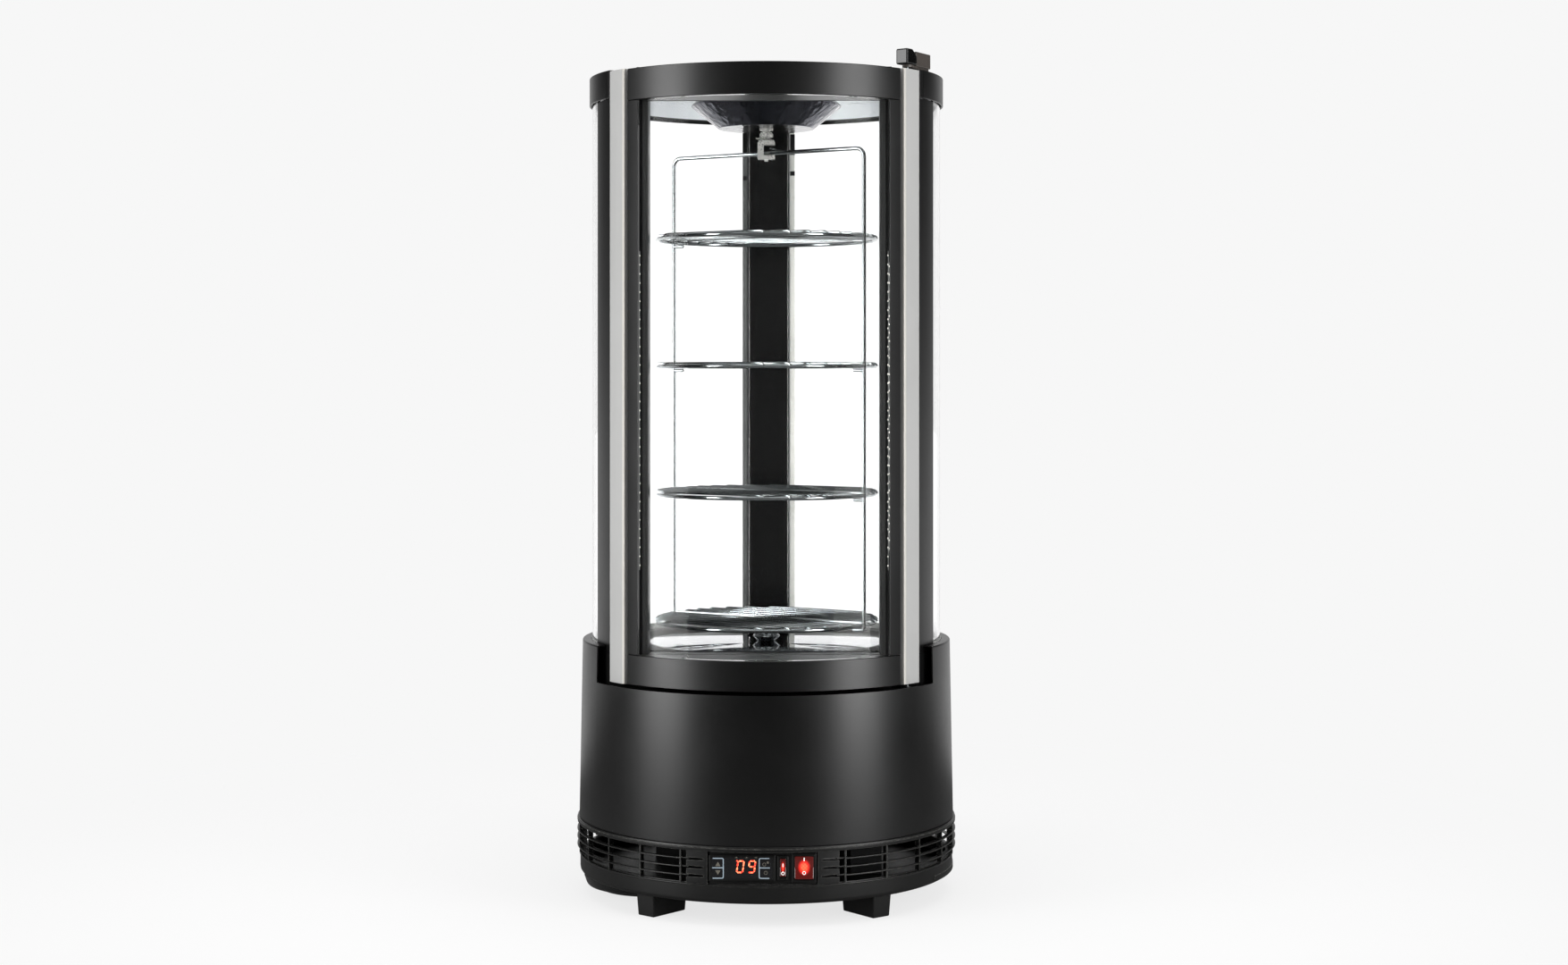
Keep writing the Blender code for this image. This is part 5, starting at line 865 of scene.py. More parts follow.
def span(low, high, into=None):
    """A box between two corners."""
    shape = bmesh.new() if into is None else into
    size = Matrix.Diagonal([b - a for a, b in zip(low, high)] + [1.0])
    middle = Matrix.Translation([(a + b) / 2 for a, b in zip(low, high)])
    bmesh.ops.create_cube(shape, size=1.0, matrix=middle @ size)
    return shape


def prism(outline, low, high, into=None):
    """An outline in plan made thick between two heights."""
    return skin([[(x, y, z) for x, y in outline] for z in (low, high)], into=into)


def cut_for_door(piece, front, corner_back, low, high):
    """Cuts away the space of the door: all in front of a plane, and both corners as far back as their posts."""
    outline = [(-FAR, -FAR), (FAR, -FAR), (FAR, corner_back), (frame_half, corner_back), (frame_half, front),
               (-frame_half, front), (-frame_half, corner_back), (-FAR, corner_back)]
    carve(piece, prism(outline, low.z - CUT_MARGIN, high.z + CUT_MARGIN))


# Chrome plate: mid grey metal with thin streaks of polish that break the highlights
chrome_plate = surface("bright_chrome_plate", ("#9aa0a1", "#b9bebf"), (0.10, 0.18), 3.0, 0.003, 1.0)
# Satin nickel: a bright cast surface, soft enough to look pale in front of the dark column
cast_nickel = surface("satin_nickel_casting", ("#c6c6c1", "#e0e0db"), (0.2, 0.34), 2.5, 0.012, 0.45)
# Mirror steel: stainless sheet polished by hand, slightly wavy so that straight reflections wobble
mirror_steel = surface("mirror_polished_steel", ("#9c9ea3", "#b0b2b6"), (0.02, 0.05), 26.0, 0.02, 1.0,
                       cloud_mm=90.0)
# Dark chrome: the dome's smoky plating, with upright waves from pressing that streak what it mirrors
dark_chrome = surface("dark_chrome_plate", ("#4c4d54", "#62636a"), (0.04, 0.1), 8.0, 1.3, 1.0,
                      (1.0, 1.0, 0.14), 60.0)

ring_low, ring_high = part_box("floor_ring")
ring_radius = ring_high.y
ring_inner = DISC_RADIUS + GAP
level = ring_high.z - FLOOR_RING_SINK
ring_profile = [(ring_inner, ring_low.z), (ring_radius, ring_low.z),
                (ring_radius, ring_high.z - FLOOR_RING_EDGE), (ring_radius - FLOOR_RING_EDGE, ring_high.z),
                (ring_radius - FLOOR_RING_RIM, ring_high.z)]
for radius in reversed(FLOOR_RING_STEPS):
    ring_profile += [(radius + out, level + rise) for out, rise in STEP_SECTION]
ring_profile.append((ring_inner, level))
floor_ring = show("floor_ring_moulding", swept(ring_profile), moulded_abs, "cabinet",
                  ["floor_ring"])
post_back = around(POST_ANGLES[0], POST_INNER_RADIUS).y + GAP
cut_for_door(floor_ring, front_plane, post_back, ring_low, ring_high)

disc_low, disc_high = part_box("floor_disc")
disc_shape = swept(rounded([(0.0, disc_low.z), (DISC_RADIUS, disc_low.z), (DISC_RADIUS, disc_high.z, 0.0005),
                            (0.0, disc_high.z)]))
floor_disc = show("mirror_floor_disc", disc_shape, mirror_steel, "cabinet", ["floor_disc"])
cut_for_door(floor_disc, front_plane, post_back, disc_low, disc_high)

boss_low, boss_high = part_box("pivot_boss")
boss_height = boss_high.z - boss_low.z
boss_shape = bmesh.new()
boss_rings = []
for share, rise, turn in KNOB_RINGS:
    rim = [around(turn + 360 / KNOB_SIDES * i, boss_high.x * share, boss_low.z + boss_height * rise)
           for i in range(KNOB_SIDES)]
    boss_rings.append([boss_shape.verts.new(point) for point in rim])
for here, there in zip(boss_rings, boss_rings[1:]):
    for i in range(KNOB_SIDES):
        j = (i + 1) % KNOB_SIDES
        boss_shape.faces.new((here[i], here[j], there[i]))
        boss_shape.faces.new((here[j], there[j], there[i]))
boss_shape.faces.new(boss_rings[0])
boss_shape.faces.new(boss_rings[-1])
show("faceted_floor_knob", boss_shape, chrome_plate, "cabinet", ["pivot_boss"], 0.0003)


# Posts: two powder coated steel uprights beside the door, each hollowed round the hinge line of the door.
# They carry the top and hold the front edges of the glass.
GLASS_RADIUS = 0.207
TRIM_ANGLES = (48.4, 56.5)
TRIM_RADIUS = 0.213
TRIM_DEPTH = 0.014
RELIEF_CLEARANCE = 0.0015
RELIEF_STEPS = 14
hinge = Vector(next(joint["pos_m"] for joint in frame["joints"] if joint["name"] == "door_hinge"))


def case_arc(radius, start, end, steps):
    """Points (x, y) on a circle round the case."""
    return [tuple(around(start + (end - start) * i / steps, radius).xy) for i in range(steps + 1)]


def hinge_arc(radius, start, end, steps=RELIEF_STEPS):
    """Points (x, y) on a circle round the hinge line, between two angles in radians from +X."""
    turns = [start + (end - start) * i / steps for i in range(steps + 1)]
    return [(hinge.x + radius * cos(turn), hinge.y + radius * sin(turn)) for turn in turns]


def both_sides(outline):
    """An outline in plan for the right side, and the same turned over for the left."""
    return (("right", outline), ("left", [(-x, y) for x, y in reversed(outline)]))


trim_corners = [around(angle, radius) for angle in TRIM_ANGLES
                for radius in (TRIM_RADIUS, TRIM_RADIUS - TRIM_DEPTH)]
relief = RELIEF_CLEARANCE + max((corner - Vector((*hinge.xy, 0.0))).length for corner in trim_corners)
post_corner = around(POST_ANGLES[0], GLASS_RADIUS)
first_turn = atan2(post_corner.y - hinge.y, post_corner.x - hinge.x)
last_turn = pi - asin(sqrt(relief ** 2 - (frame_half + GAP - hinge.x) ** 2) / relief)
relief_arc = hinge_arc(relief, first_turn, last_turn) + [(frame_half + GAP, front_plane)]
post_outline = case_arc(GLASS_RADIUS, POST_ANGLES[1], POST_ANGLES[0], 14) + relief_arc
post_outline += case_arc(POST_INNER_RADIUS, *POST_ANGLES, 10)
post_low, post_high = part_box("post_right")
for label, outline in both_sides(post_outline):
    post_shape = prism(outline, post_low.z, post_high.z)
    show(f"post_{label}_profile", post_shape, powder_coat, "cabinet", [f"post_{label}"], 0.0004)


# Glass walls: two bent panes of 3 mm float glass, 11 mm apart, with ground edges.
# They stand in one anodised aluminium channel on the floor and end under a ledge of the top ring.
INNER_GLASS_RADIUS = 0.196
GLASS_THICKNESS = 0.003
GLASS_EDGE = 0.0005
GLASS_TINT = "#ffffff"
GLASS_SHADOW = "#f6f8f7"
GLASS_COATING = "#363636"
GLASS_STEPS = 150
CHANNEL_BASE = 0.002
CHANNEL_WALL = 0.0009

# Float glass: clear and coated against reflections, with faint wiping marks; it lets lamp light through
clear_glass, tree, shader = principled("clear_float_glass", {
    "Base Color": linear(GLASS_TINT), "Transmission Weight": 1.0, "IOR": 1.5,
    "Specular Tint": linear(GLASS_COATING)})
place = add(tree, "TexCoord").outputs["Object"]
wiped = add(tree, "TexNoise", {"Vector": place, "Scale": 22.0, "Detail": 3.0, "Distortion": 0.6}).outputs[0]
smears = add(tree, "MapRange", {0: wiped, 1: 0.45, 2: 0.7, 3: 0.0, 4: 0.035}).outputs[0]
tree.links.new(smears, shader.inputs["Roughness"])
in_shadow = add(tree, "LightPath").outputs["Is Shadow Ray"]
lets_through = add(tree, "BsdfTransparent", {"Color": linear(GLASS_SHADOW)}).outputs[0]
by_ray = add(tree, "MixShader", {0: in_shadow, 1: shader.outputs[0], 2: lets_through})
tree.links.new(by_ray.outputs[0], tree.nodes["Material Output"].inputs["Surface"])
# Satin aluminium: anodised extrusion, drawn lengthwise, so fine upright lines run through a soft sheen
satin_aluminium = surface("satin_anodised_aluminium", ("#9a9a99", "#a5a5a4"), (0.46, 0.56), 1.2, 0.0006, 0.35,
                          (1.0, 1.0, 0.015), 160.0)


def pane_profile(radius, low, high):
    """Section of an upright pane with ground edges."""
    back, edge = radius - GLASS_THICKNESS, GLASS_EDGE
    return [(back, low + edge), (back + edge, low), (radius - edge, low), (radius, low + edge),
            (radius, high - edge), (radius - edge, high), (back + edge, high), (back, high - edge)]


glass_start = POST_ANGLES[1] + degrees(GAP / GLASS_RADIUS)
glass_sweep = (glass_start, FULL_TURN - glass_start, GLASS_STEPS)
glass_low, glass_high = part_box("glass_outer")
for label, radius in (("outer", GLASS_RADIUS), ("inner", INNER_GLASS_RADIUS)):
    pane_shape = swept(pane_profile(radius, glass_low.z, glass_high.z), *glass_sweep)
    show(f"{label}_bent_pane", pane_shape, clear_glass, "cabinet", [f"glass_{label}"])

channel_low, channel_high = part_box("glass_channel")
channel_inner, channel_outer = ring_radius + GAP, GLASS_RADIUS + CHANNEL_WALL
groove_inner, groove_outer = INNER_GLASS_RADIUS - GLASS_THICKNESS - GAP, GLASS_RADIUS + GAP
channel_base = channel_low.z + CHANNEL_BASE
channel_profile = [
    (channel_inner, channel_low.z), (channel_outer, channel_low.z),
    (channel_outer, channel_high.z), (groove_outer, channel_high.z),
    (groove_outer, channel_base), (groove_inner, channel_base),
    (groove_inner, channel_high.z), (channel_inner, channel_high.z),
]
show("glass_channel_extrusion", swept(channel_profile, *glass_sweep), satin_aluminium, "cabinet",
     ["glass_channel"])


# Top ring: a rolled and powder coated steel band with a ledge over the glass, between two corner blocks.
# A hairline seam shows where the band meets each block.
RING_RADIUS = 0.2105
RING_WALL = 0.0022
RING_SEAM = 60.5
SEAM_WIDTH = 0.08
RING_EDGE = 0.0006
LEDGE = (0.004, 0.006)
LEDGE_GAP = 0.0008
CEILING_RADIUS = 0.1895
top_low, top_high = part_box("top_ring")
ledge_low, ledge_high = (top_low.z + rise for rise in LEDGE)
band_inner, ledge_inner = RING_RADIUS - RING_WALL, CEILING_RADIUS + LEDGE_GAP
band_shape = swept(rounded([
    (RING_RADIUS, top_low.z, RING_EDGE), (RING_RADIUS, top_high.z, RING_EDGE),
    (band_inner, top_high.z, RING_EDGE), (band_inner, ledge_high),
    (ledge_inner, ledge_high), (ledge_inner, ledge_low),
    (band_inner, ledge_low), (band_inner, top_low.z, RING_EDGE),
]), RING_SEAM, FULL_TURN - RING_SEAM, 170)
show("top_ring_band", band_shape, powder_coat, "cabinet", ["top_ring"])
block_end = RING_SEAM - SEAM_WIDTH
corner_outline = case_arc(RING_RADIUS, block_end, POST_ANGLES[0], 4) + relief_arc
corner_outline += case_arc(POST_INNER_RADIUS, POST_ANGLES[0], block_end, 4)
for label, outline in both_sides(corner_outline):
    corner_shape = prism(outline, top_low.z, top_high.z)
    show(f"top_ring_corner_{label}", corner_shape, powder_coat, "cabinet", edge=0.0005)


# Lid: a pressed steel dish dropped into the ring and held by six screws, cut straight along the door.
# The screws are zinc plated pan heads with a cross recess.
LID_THICKNESS = 0.002
LID_GAP = 0.0007
SCREW_ANGLES = (75.0, 110.0, 145.0, 215.0, 250.0, 285.0)
SCREW_CIRCLE = 0.196
SCREW_RADIUS = 0.0033
SCREW_HEIGHT = 0.0018
SCREW_SINK = 0.0008
RECESS_DEPTH = 0.0009
zinc_plate = surface("zinc_plated_screws", ("#999b9d", "#b9bbbd"), (0.25, 0.4), 1.0, 0.004, 1.0)
lid_low, lid_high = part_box("top_lid")
lid_radius, lid_under = band_inner - LID_GAP, lid_high.z - LID_THICKNESS
lid_shape = swept(rounded([
    (0.0, lid_under), (lid_radius - LID_THICKNESS, lid_under), (lid_radius - LID_THICKNESS, lid_low.z),
    (lid_radius, lid_low.z), (lid_radius, lid_high.z, 0.0008), (0.0, lid_high.z),
]))
lid = show("top_lid_dish", lid_shape, powder_coat, "cabinet", ["top_lid"])
corner_back = around(RING_SEAM + 1.0, POST_INNER_RADIUS).y + GAP
cut_for_door(lid, frame_low.y, corner_back, lid_low, lid_high)
screw_profile = rounded([
    (0.0, -SCREW_SINK), (SCREW_RADIUS, -SCREW_SINK), (SCREW_RADIUS, SCREW_HEIGHT * 0.35, 0.0006),
    (SCREW_RADIUS * 0.6, SCREW_HEIGHT, 0.001), (0.0, SCREW_HEIGHT),
])
arm, half = SCREW_RADIUS * 0.55, SCREW_RADIUS * 0.13
cross = [(arm, -half), (arm, half), (half, half), (half, arm), (-half, arm), (-half, half),
         (-arm, half), (-arm, -half), (-half, -half), (-half, -arm), (half, -arm), (half, -half)]
screw_shape, recess = bmesh.new(), bmesh.new()
for angle in SCREW_ANGLES:
    seat = around(angle, SCREW_CIRCLE, lid_high.z)
    swept([(r, seat.z + z) for r, z in screw_profile], steps=20, centre=seat.xy, into=screw_shape)
    screw_top = seat.z + SCREW_HEIGHT
    prism([(seat.x + u, seat.y + v) for u, v in cross], screw_top - RECESS_DEPTH, screw_top + 0.002, recess)
screws = show("lid_screws", screw_shape, zinc_plate, "cabinet")
carve(screws, recess)


# Ceiling: a pale enamelled tray turned down at its rim, with a thin dark edge trim along the rim.
# Under it hangs the dark chromed dome, spun from sheet, that hides the gear motor.
CEILING_WALL = 0.0015
CEILING_THICKNESS = 0.003
EDGE_TRIM = 0.0014
TRIM_PROUD = 0.0003
DOME_NECK = 0.010
DOME_TAPER = 0.009
DOME_RADII = (0.080, 0.090, 0.057, 0.013)
DOME_WALL = 0.0015
ceiling_enamel = surface("pale_grey_enamel", ("#d9dbdf", "#e6e8ea"), (0.24, 0.36), 5.0, 0.006)
gasket_rubber = surface("dark_grey_rubber", ("#262626", "#333332"), (0.58, 0.74), 1.2, 0.02)
ceiling_low, ceiling_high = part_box("ceiling")
ceiling_face = ceiling_high.z - CEILING_THICKNESS
rim_inner, trim_top = CEILING_RADIUS - CEILING_WALL, ceiling_low.z + EDGE_TRIM
ceiling_profile = [(0.0, ceiling_face), (rim_inner, ceiling_face), (rim_inner, trim_top),
                   (CEILING_RADIUS, trim_top), (CEILING_RADIUS, ceiling_high.z), (0.0, ceiling_high.z)]
ceiling = show("enamelled_ceiling", swept(ceiling_profile), ceiling_enamel, "cabinet", ["ceiling"])
cut_for_door(ceiling, front_plane, corner_back, ceiling_low, ceiling_high)
trim_profile = rounded([(rim_inner - TRIM_PROUD, ceiling_low.z, 0.0003), (CEILING_RADIUS, ceiling_low.z, 0.0003),
                        (CEILING_RADIUS, trim_top), (rim_inner - TRIM_PROUD, trim_top)])
edge_trim = show("ceiling_edge_trim", swept(trim_profile), gasket_rubber, "cabinet")
cut_for_door(edge_trim, front_plane, corner_back, ceiling_low, ceiling_high)

dome_low, dome_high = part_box("motor_dome")
neck, widest, bottom, bore = DOME_RADII
neck_end = dome_high.z - DOME_NECK
dome_shape = swept(rounded([
    (neck, dome_high.z),
    (neck, neck_end, 0.0012),
    (widest, neck_end - DOME_TAPER, 0.0014),
    (bottom, dome_low.z, 0.0016),
    (bore, dome_low.z),
    (bore, dome_low.z + DOME_WALL),
    (bottom - DOME_WALL, dome_low.z + DOME_WALL),
    (widest - 1.5 * DOME_WALL, neck_end - DOME_TAPER),
    (neck - DOME_WALL, neck_end),
    (neck - DOME_WALL, dome_high.z),
]))
show("dark_chrome_motor_dome", dome_shape, dark_chrome, "cabinet", ["motor_dome"])
# Bare aluminium: cast and milled metal of the hidden machines, dull with a fine grain
bare_aluminium = surface("bare_aluminium", ("#979a9c", "#b4b6b8"), (0.35, 0.52), 1.4, 0.01, 1.0)
finish_node("gear_motor", bare_aluminium)


# Hinge on the lid: a painted steel plate with a block welded on, and a pin down into the door's side profile.
# A glossy moulded cap covers the pin; its top slopes down outwards.
HINGE_PLATE = 0.003
HINGE_NOSE = (0.008, -130, 20)
HINGE_BLOCK = (0.0365, 0.010, 0.0175)
HINGE_BLOCK_SPOT = (61.0, 0.2043)
HINGE_BLOCK_EDGE = 0.0004
HINGE_CORNERS = ((5.5, -0.0027), (9.0, 0.0083), (5.0, 0.0263))
PIN_RADIUS = 0.003
CAP_HALF = (0.010, 0.008)
CAP_SLOPE = 0.008
CAP_EDGE = 0.0018
# Hinge paint: warm grey enamel, lighter than the case and rubbed along its edges
hinge_paint = surface("warm_grey_hinge_paint", ("#302b27", "#3c3733"), (0.36, 0.48), 3.0, 0.02,
                      edge_wear_and_highlight=("#5e5953", 0.8))
# Gloss moulding: deep black and shiny, with the slow waves of a moulded skin
gloss_black = surface("gloss_black_moulding", ("#060606", "#0c0c0c"), (0.07, 0.14), 14.0, 0.01)

bracket_low, bracket_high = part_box("hinge_bracket_upper")
cap_low, cap_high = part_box("hinge_cap")
plate_top = cap_low.z - GAP
plate_outline = hinge_arc(HINGE_NOSE[0], radians(HINGE_NOSE[1]), radians(HINGE_NOSE[2]))
for turn, inwards in HINGE_CORNERS:
    plate_outline.append(tuple(around(HINGE_BLOCK_SPOT[0] + turn, HINGE_BLOCK_SPOT[1] - inwards).xy))
plate_shape = prism(plate_outline, plate_top - HINGE_PLATE, plate_top)
show("upper_hinge_plate", plate_shape, hinge_paint, "cabinet", ["hinge_bracket_upper"], 0.0004)
length, depth, height = HINGE_BLOCK
block_at = Matrix.Translation(around(*HINGE_BLOCK_SPOT, bracket_high.z - height / 2 + HINGE_BLOCK_EDGE))
block_turn = Matrix.Rotation(radians(HINGE_BLOCK_SPOT[0]), 4, "Z")
block_size = Matrix.Diagonal((length, depth, height - 2 * HINGE_BLOCK_EDGE, 1.0))
block_shape = bmesh.new()
bmesh.ops.create_cube(block_shape, size=1.0, matrix=block_at @ block_turn @ block_size)
show("upper_hinge_block", block_shape, hinge_paint, "cabinet", edge=0.0009, segments=3)


def pin_shape(low, high):
    """A round pin on the hinge line of the door."""
    profile = rounded([(0.0, low), (PIN_RADIUS, low, 0.0004), (PIN_RADIUS, high, 0.0004), (0.0, high)])
    return swept(profile, steps=32, centre=hinge.xy)


show("upper_hinge_pin", pin_shape(bracket_low.z, plate_top - HINGE_PLATE / 2), chrome_plate, "cabinet")
cap_half, cap_reach = CAP_HALF
cap_outline = [(-cap_half, cap_low.z), (cap_half, cap_low.z), (cap_half, cap_high.z - CAP_SLOPE),
               (cap_half - CAP_SLOPE, cap_high.z), (-cap_half, cap_high.z)]
cap_angle = degrees(atan2(hinge.x, -hinge.y))
cap_along, cap_out = around(cap_angle + 90, 1.0), around(cap_angle, 1.0)
cap_shape = skin([[Vector((*hinge.xy, z)) + cap_out * reach + cap_along * t for t, z in cap_outline]
                  for reach in (-cap_reach, cap_reach)])
show("hinge_cap_moulding", cap_shape, gloss_black, "cabinet", ["hinge_cap"], CAP_EDGE, 4)


# Lower hinge: a thin powder coated steel plate on the sill, in the dark of the notch.
# A bright pin stands on it and reaches up into the door.
LOWER_PLATE = 0.0015
LOWER_NOSE = (0.009, -170, -10)
LOWER_HALF = 0.014
lower_low, lower_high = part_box("hinge_bracket_lower")
lower_outline = hinge_arc(LOWER_NOSE[0], radians(LOWER_NOSE[1]), radians(LOWER_NOSE[2]))
lower_outline += [(hinge.x + LOWER_HALF, front_plane - GAP), (hinge.x - LOWER_HALF, front_plane - GAP)]
lower_shape = prism(lower_outline, lower_low.z, lower_low.z + LOWER_PLATE)
show("lower_hinge_plate", lower_shape, powder_coat, "cabinet", ["hinge_bracket_lower"], 0.0003)
show("lower_hinge_pin", pin_shape(lower_low.z + LOWER_PLATE / 2, lower_high.z), chrome_plate, "cabinet")


# Air column: a glossy black moulding up the back of the cabin that hides the air duct and the wires.
# An opal acrylic light strip runs down each side with small black clips; the left one is painted darker, as
# painted shade, and a dark band near the top of each strip is a painted reflection.
COLUMN_EDGE = 0.004
PAINTED_DARK_BAND_LEVELS = {"right": (0.888, 0.914), "left": (0.8847, None)}
DARK_BAND_END = 0.002
BAND_AND_CLIP_PROUD, BAND_AND_CLIP_DEPTH = 0.0004, 0.006
CLIP_LEVELS = {"right": 0.8620, "left": 0.8560}
CLIP_HEIGHT = 0.0055
STRIP_FINISHES = {
    # Opal acrylic: milky and a little uneven along its length
    "right": surface("opal_acrylic", ("#aeada9", "#c2c1bd"), (0.22, 0.34), 18.0, 0.004),
    # Left strip: the same opal strip painted in a dark tint as painted shade, with long milky streaks along it
    "left": surface("painted_shade_opal_acrylic", ("#3f4040", "#5a5b5b"), (0.18, 0.28), 18.0, 0.004, 0.0,
                    (1.0, 1.0, 0.1), 90.0),
}
show("air_column_moulding", span(*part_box("air_column")), gloss_black, "cabinet", ["air_column"],
     COLUMN_EDGE, 5)
for label in ("right", "left"):
    low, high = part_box(f"column_strip_{label}")
    show(f"acrylic_strip_{label}", span(low, high), STRIP_FINISHES[label], "cabinet",
         [f"column_strip_{label}"], 0.0008, 3)
    dark_band_low, dark_band_high = PAINTED_DARK_BAND_LEVELS[label]
    clip = CLIP_LEVELS[label]
    wrap_shape = bmesh.new()
    # The first box is a dark band over the strip, a painted reflection; the second is a small black clip.
    for bottom, top in ((dark_band_low, dark_band_high or high.z - DARK_BAND_END), (clip, clip + CLIP_HEIGHT)):
        span((low.x, low.y - BAND_AND_CLIP_PROUD, bottom), (high.x, low.y + BAND_AND_CLIP_DEPTH, top), wrap_shape)
    show(f"strip_clips_and_painted_dark_band_{label}", wrap_shape, panel_abs, "cabinet", edge=0.0002)


# Door rails and stiles: folded and powder coated steel pressings with a curved front and a flat back.
# Each stile has a tongue that reaches into the bright side profile, and all rims have a folded edge's radius.
DOOR_RADIUS = 0.212
DOOR_ANGLE = 47.0
DOOR_EDGE = 0.0009
STILE_EDGE = 0.0006
STILE_INNER = 0.142697
TONGUE_SET_BACK = 0.006
TONGUE_DEPTH = 0.004
rail_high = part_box("door_top_rail")[1]
door_back, rail_half = rail_high.y, rail_high.x
rail_outline = case_arc(DOOR_RADIUS, -DOOR_ANGLE, DOOR_ANGLE, 72)
rail_outline += [(rail_half, door_back), (-rail_half, door_back)]
for label in ("top", "bottom"):
    low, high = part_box(f"door_{label}_rail")
    show(f"door_{label}_rail_pressing", prism(rail_outline, low.z, high.z), powder_coat, "door",
         [f"door_{label}_rail"], DOOR_EDGE, 3)

stile_angle = degrees(asin(STILE_INNER / DOOR_RADIUS))
tongue_angle = TRIM_ANGLES[0] - degrees(GAP / TRIM_RADIUS)
tongue_radius = TRIM_RADIUS - TONGUE_SET_BACK
stile_outline = case_arc(DOOR_RADIUS, stile_angle, DOOR_ANGLE, 8) + [
    (rail_half, door_back),
    tuple(around(tongue_angle, tongue_radius).xy),
    tuple(around(tongue_angle, tongue_radius - TONGUE_DEPTH).xy),
    (rail_half - TONGUE_DEPTH * 1.4, door_back),
    (STILE_INNER, door_back),
]
stile_low, stile_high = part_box("door_stile_right")
for label, outline in both_sides(stile_outline):
    stile_shape = prism(outline, stile_low.z, stile_high.z)
    show(f"door_stile_{label}_fold", stile_shape, powder_coat, "door",
         [f"door_stile_{label}"], STILE_EDGE, 3)


# Bright side profiles: satin anodised extrusions down both sides of the door, with a polished bead inside.
# The right one has a round port for the hinge pins.
BEAD_SPAN = 1.1
BEAD_PROUD = 0.0004
BEAD_DEPTH = 0.0025
BEAD_GAP = 0.05
SHELF_DEPTH = 0.0022
PORT_RADIUS = 0.0033
polished_bead = surface("polished_aluminium_bead", ("#b2afa9", "#c0bdb7"), (0.28, 0.38), 2.0, 0.0004, 0.3,
                        (1.0, 1.0, 0.02), 120.0)
side_low, side_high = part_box("door_trim_right")
bead_end = TRIM_ANGLES[0] + BEAD_SPAN
face_radius = TRIM_RADIUS - BEAD_PROUD
side_outline = case_arc(face_radius, bead_end, TRIM_ANGLES[1], 12)
side_outline += case_arc(TRIM_RADIUS - TRIM_DEPTH, TRIM_ANGLES[1], TRIM_ANGLES[0], 12)
side_outline += case_arc(face_radius - SHELF_DEPTH, TRIM_ANGLES[0], bead_end, 1)
bead_ends = (TRIM_ANGLES[0], bead_end - BEAD_GAP)
bead_corners = [around(angle, TRIM_RADIUS) for angle in bead_ends]
bead_corners += [around(angle, TRIM_RADIUS - BEAD_DEPTH) for angle in reversed(bead_ends)]
bead_outline = rounded([(corner.x, corner.y, 0.0006) for corner in bead_corners])
for (label, outline), (_, bead) in zip(both_sides(side_outline), both_sides(bead_outline)):
    profile = show(f"side_profile_{label}", prism(outline, side_low.z, side_high.z), satin_aluminium, "door",
                   [f"door_trim_{label}"])
    if label == "right":
        port_low, port_high = side_low.z - CUT_MARGIN, side_high.z + CUT_MARGIN
        port = [(0.0, port_low), (PORT_RADIUS, port_low), (PORT_RADIUS, port_high), (0.0, port_high)]
        carve(profile, swept(port, steps=32, centre=hinge.xy))
    bead_shape = prism(bead, side_low.z + 0.0003, side_high.z)
    show(f"side_profile_bead_{label}", bead_shape, polished_bead, "door")


# Door glass: one bent pane between the stiles, set 3 mm behind the door's face.
# Behind it lies the magnetic gasket, a dark rubber frame with four fine ribs.
DOOR_GLASS_RADIUS = 0.209
GASKET_WIDTH = 0.006
RIB_HEIGHT = 0.0005
GASKET_RIBS = 4
RIB_SECTION = ((0.0002, RIB_HEIGHT), (0.0005, 0.0), (0.0010, 0.0), (0.0013, RIB_HEIGHT))
pane_low, pane_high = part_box("door_glass")
pane_angle = degrees(asin((STILE_INNER - GAP) / DOOR_GLASS_RADIUS))
door_pane = swept(pane_profile(DOOR_GLASS_RADIUS, pane_low.z, pane_high.z), -pane_angle, pane_angle, 72)
show("door_bent_pane", door_pane, clear_glass, "door", ["door_glass"])

gasket_low, gasket_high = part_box("door_gasket")
valley = gasket_low.y + RIB_HEIGHT
ribs_at = [(0.0, gasket_high.y), (0.0, valley)]
for number in range(GASKET_RIBS):
    ribs_at += [(GASKET_WIDTH * number / GASKET_RIBS + shift, gasket_low.y + rise) for shift, rise in RIB_SECTION]
ribs_at += [(GASKET_WIDTH, valley), (GASKET_WIDTH, gasket_high.y)]
gasket_loops = []
for inset, depth in ribs_at:
    x, low, high = gasket_high.x - inset, gasket_low.z + inset, gasket_high.z - inset
    gasket_loops.append([(-x, depth, low), (x, depth, low), (x, depth, high), (-x, depth, high)])
show("ribbed_door_gasket", skin(gasket_loops, True), gasket_rubber, "door", ["door_gasket"])


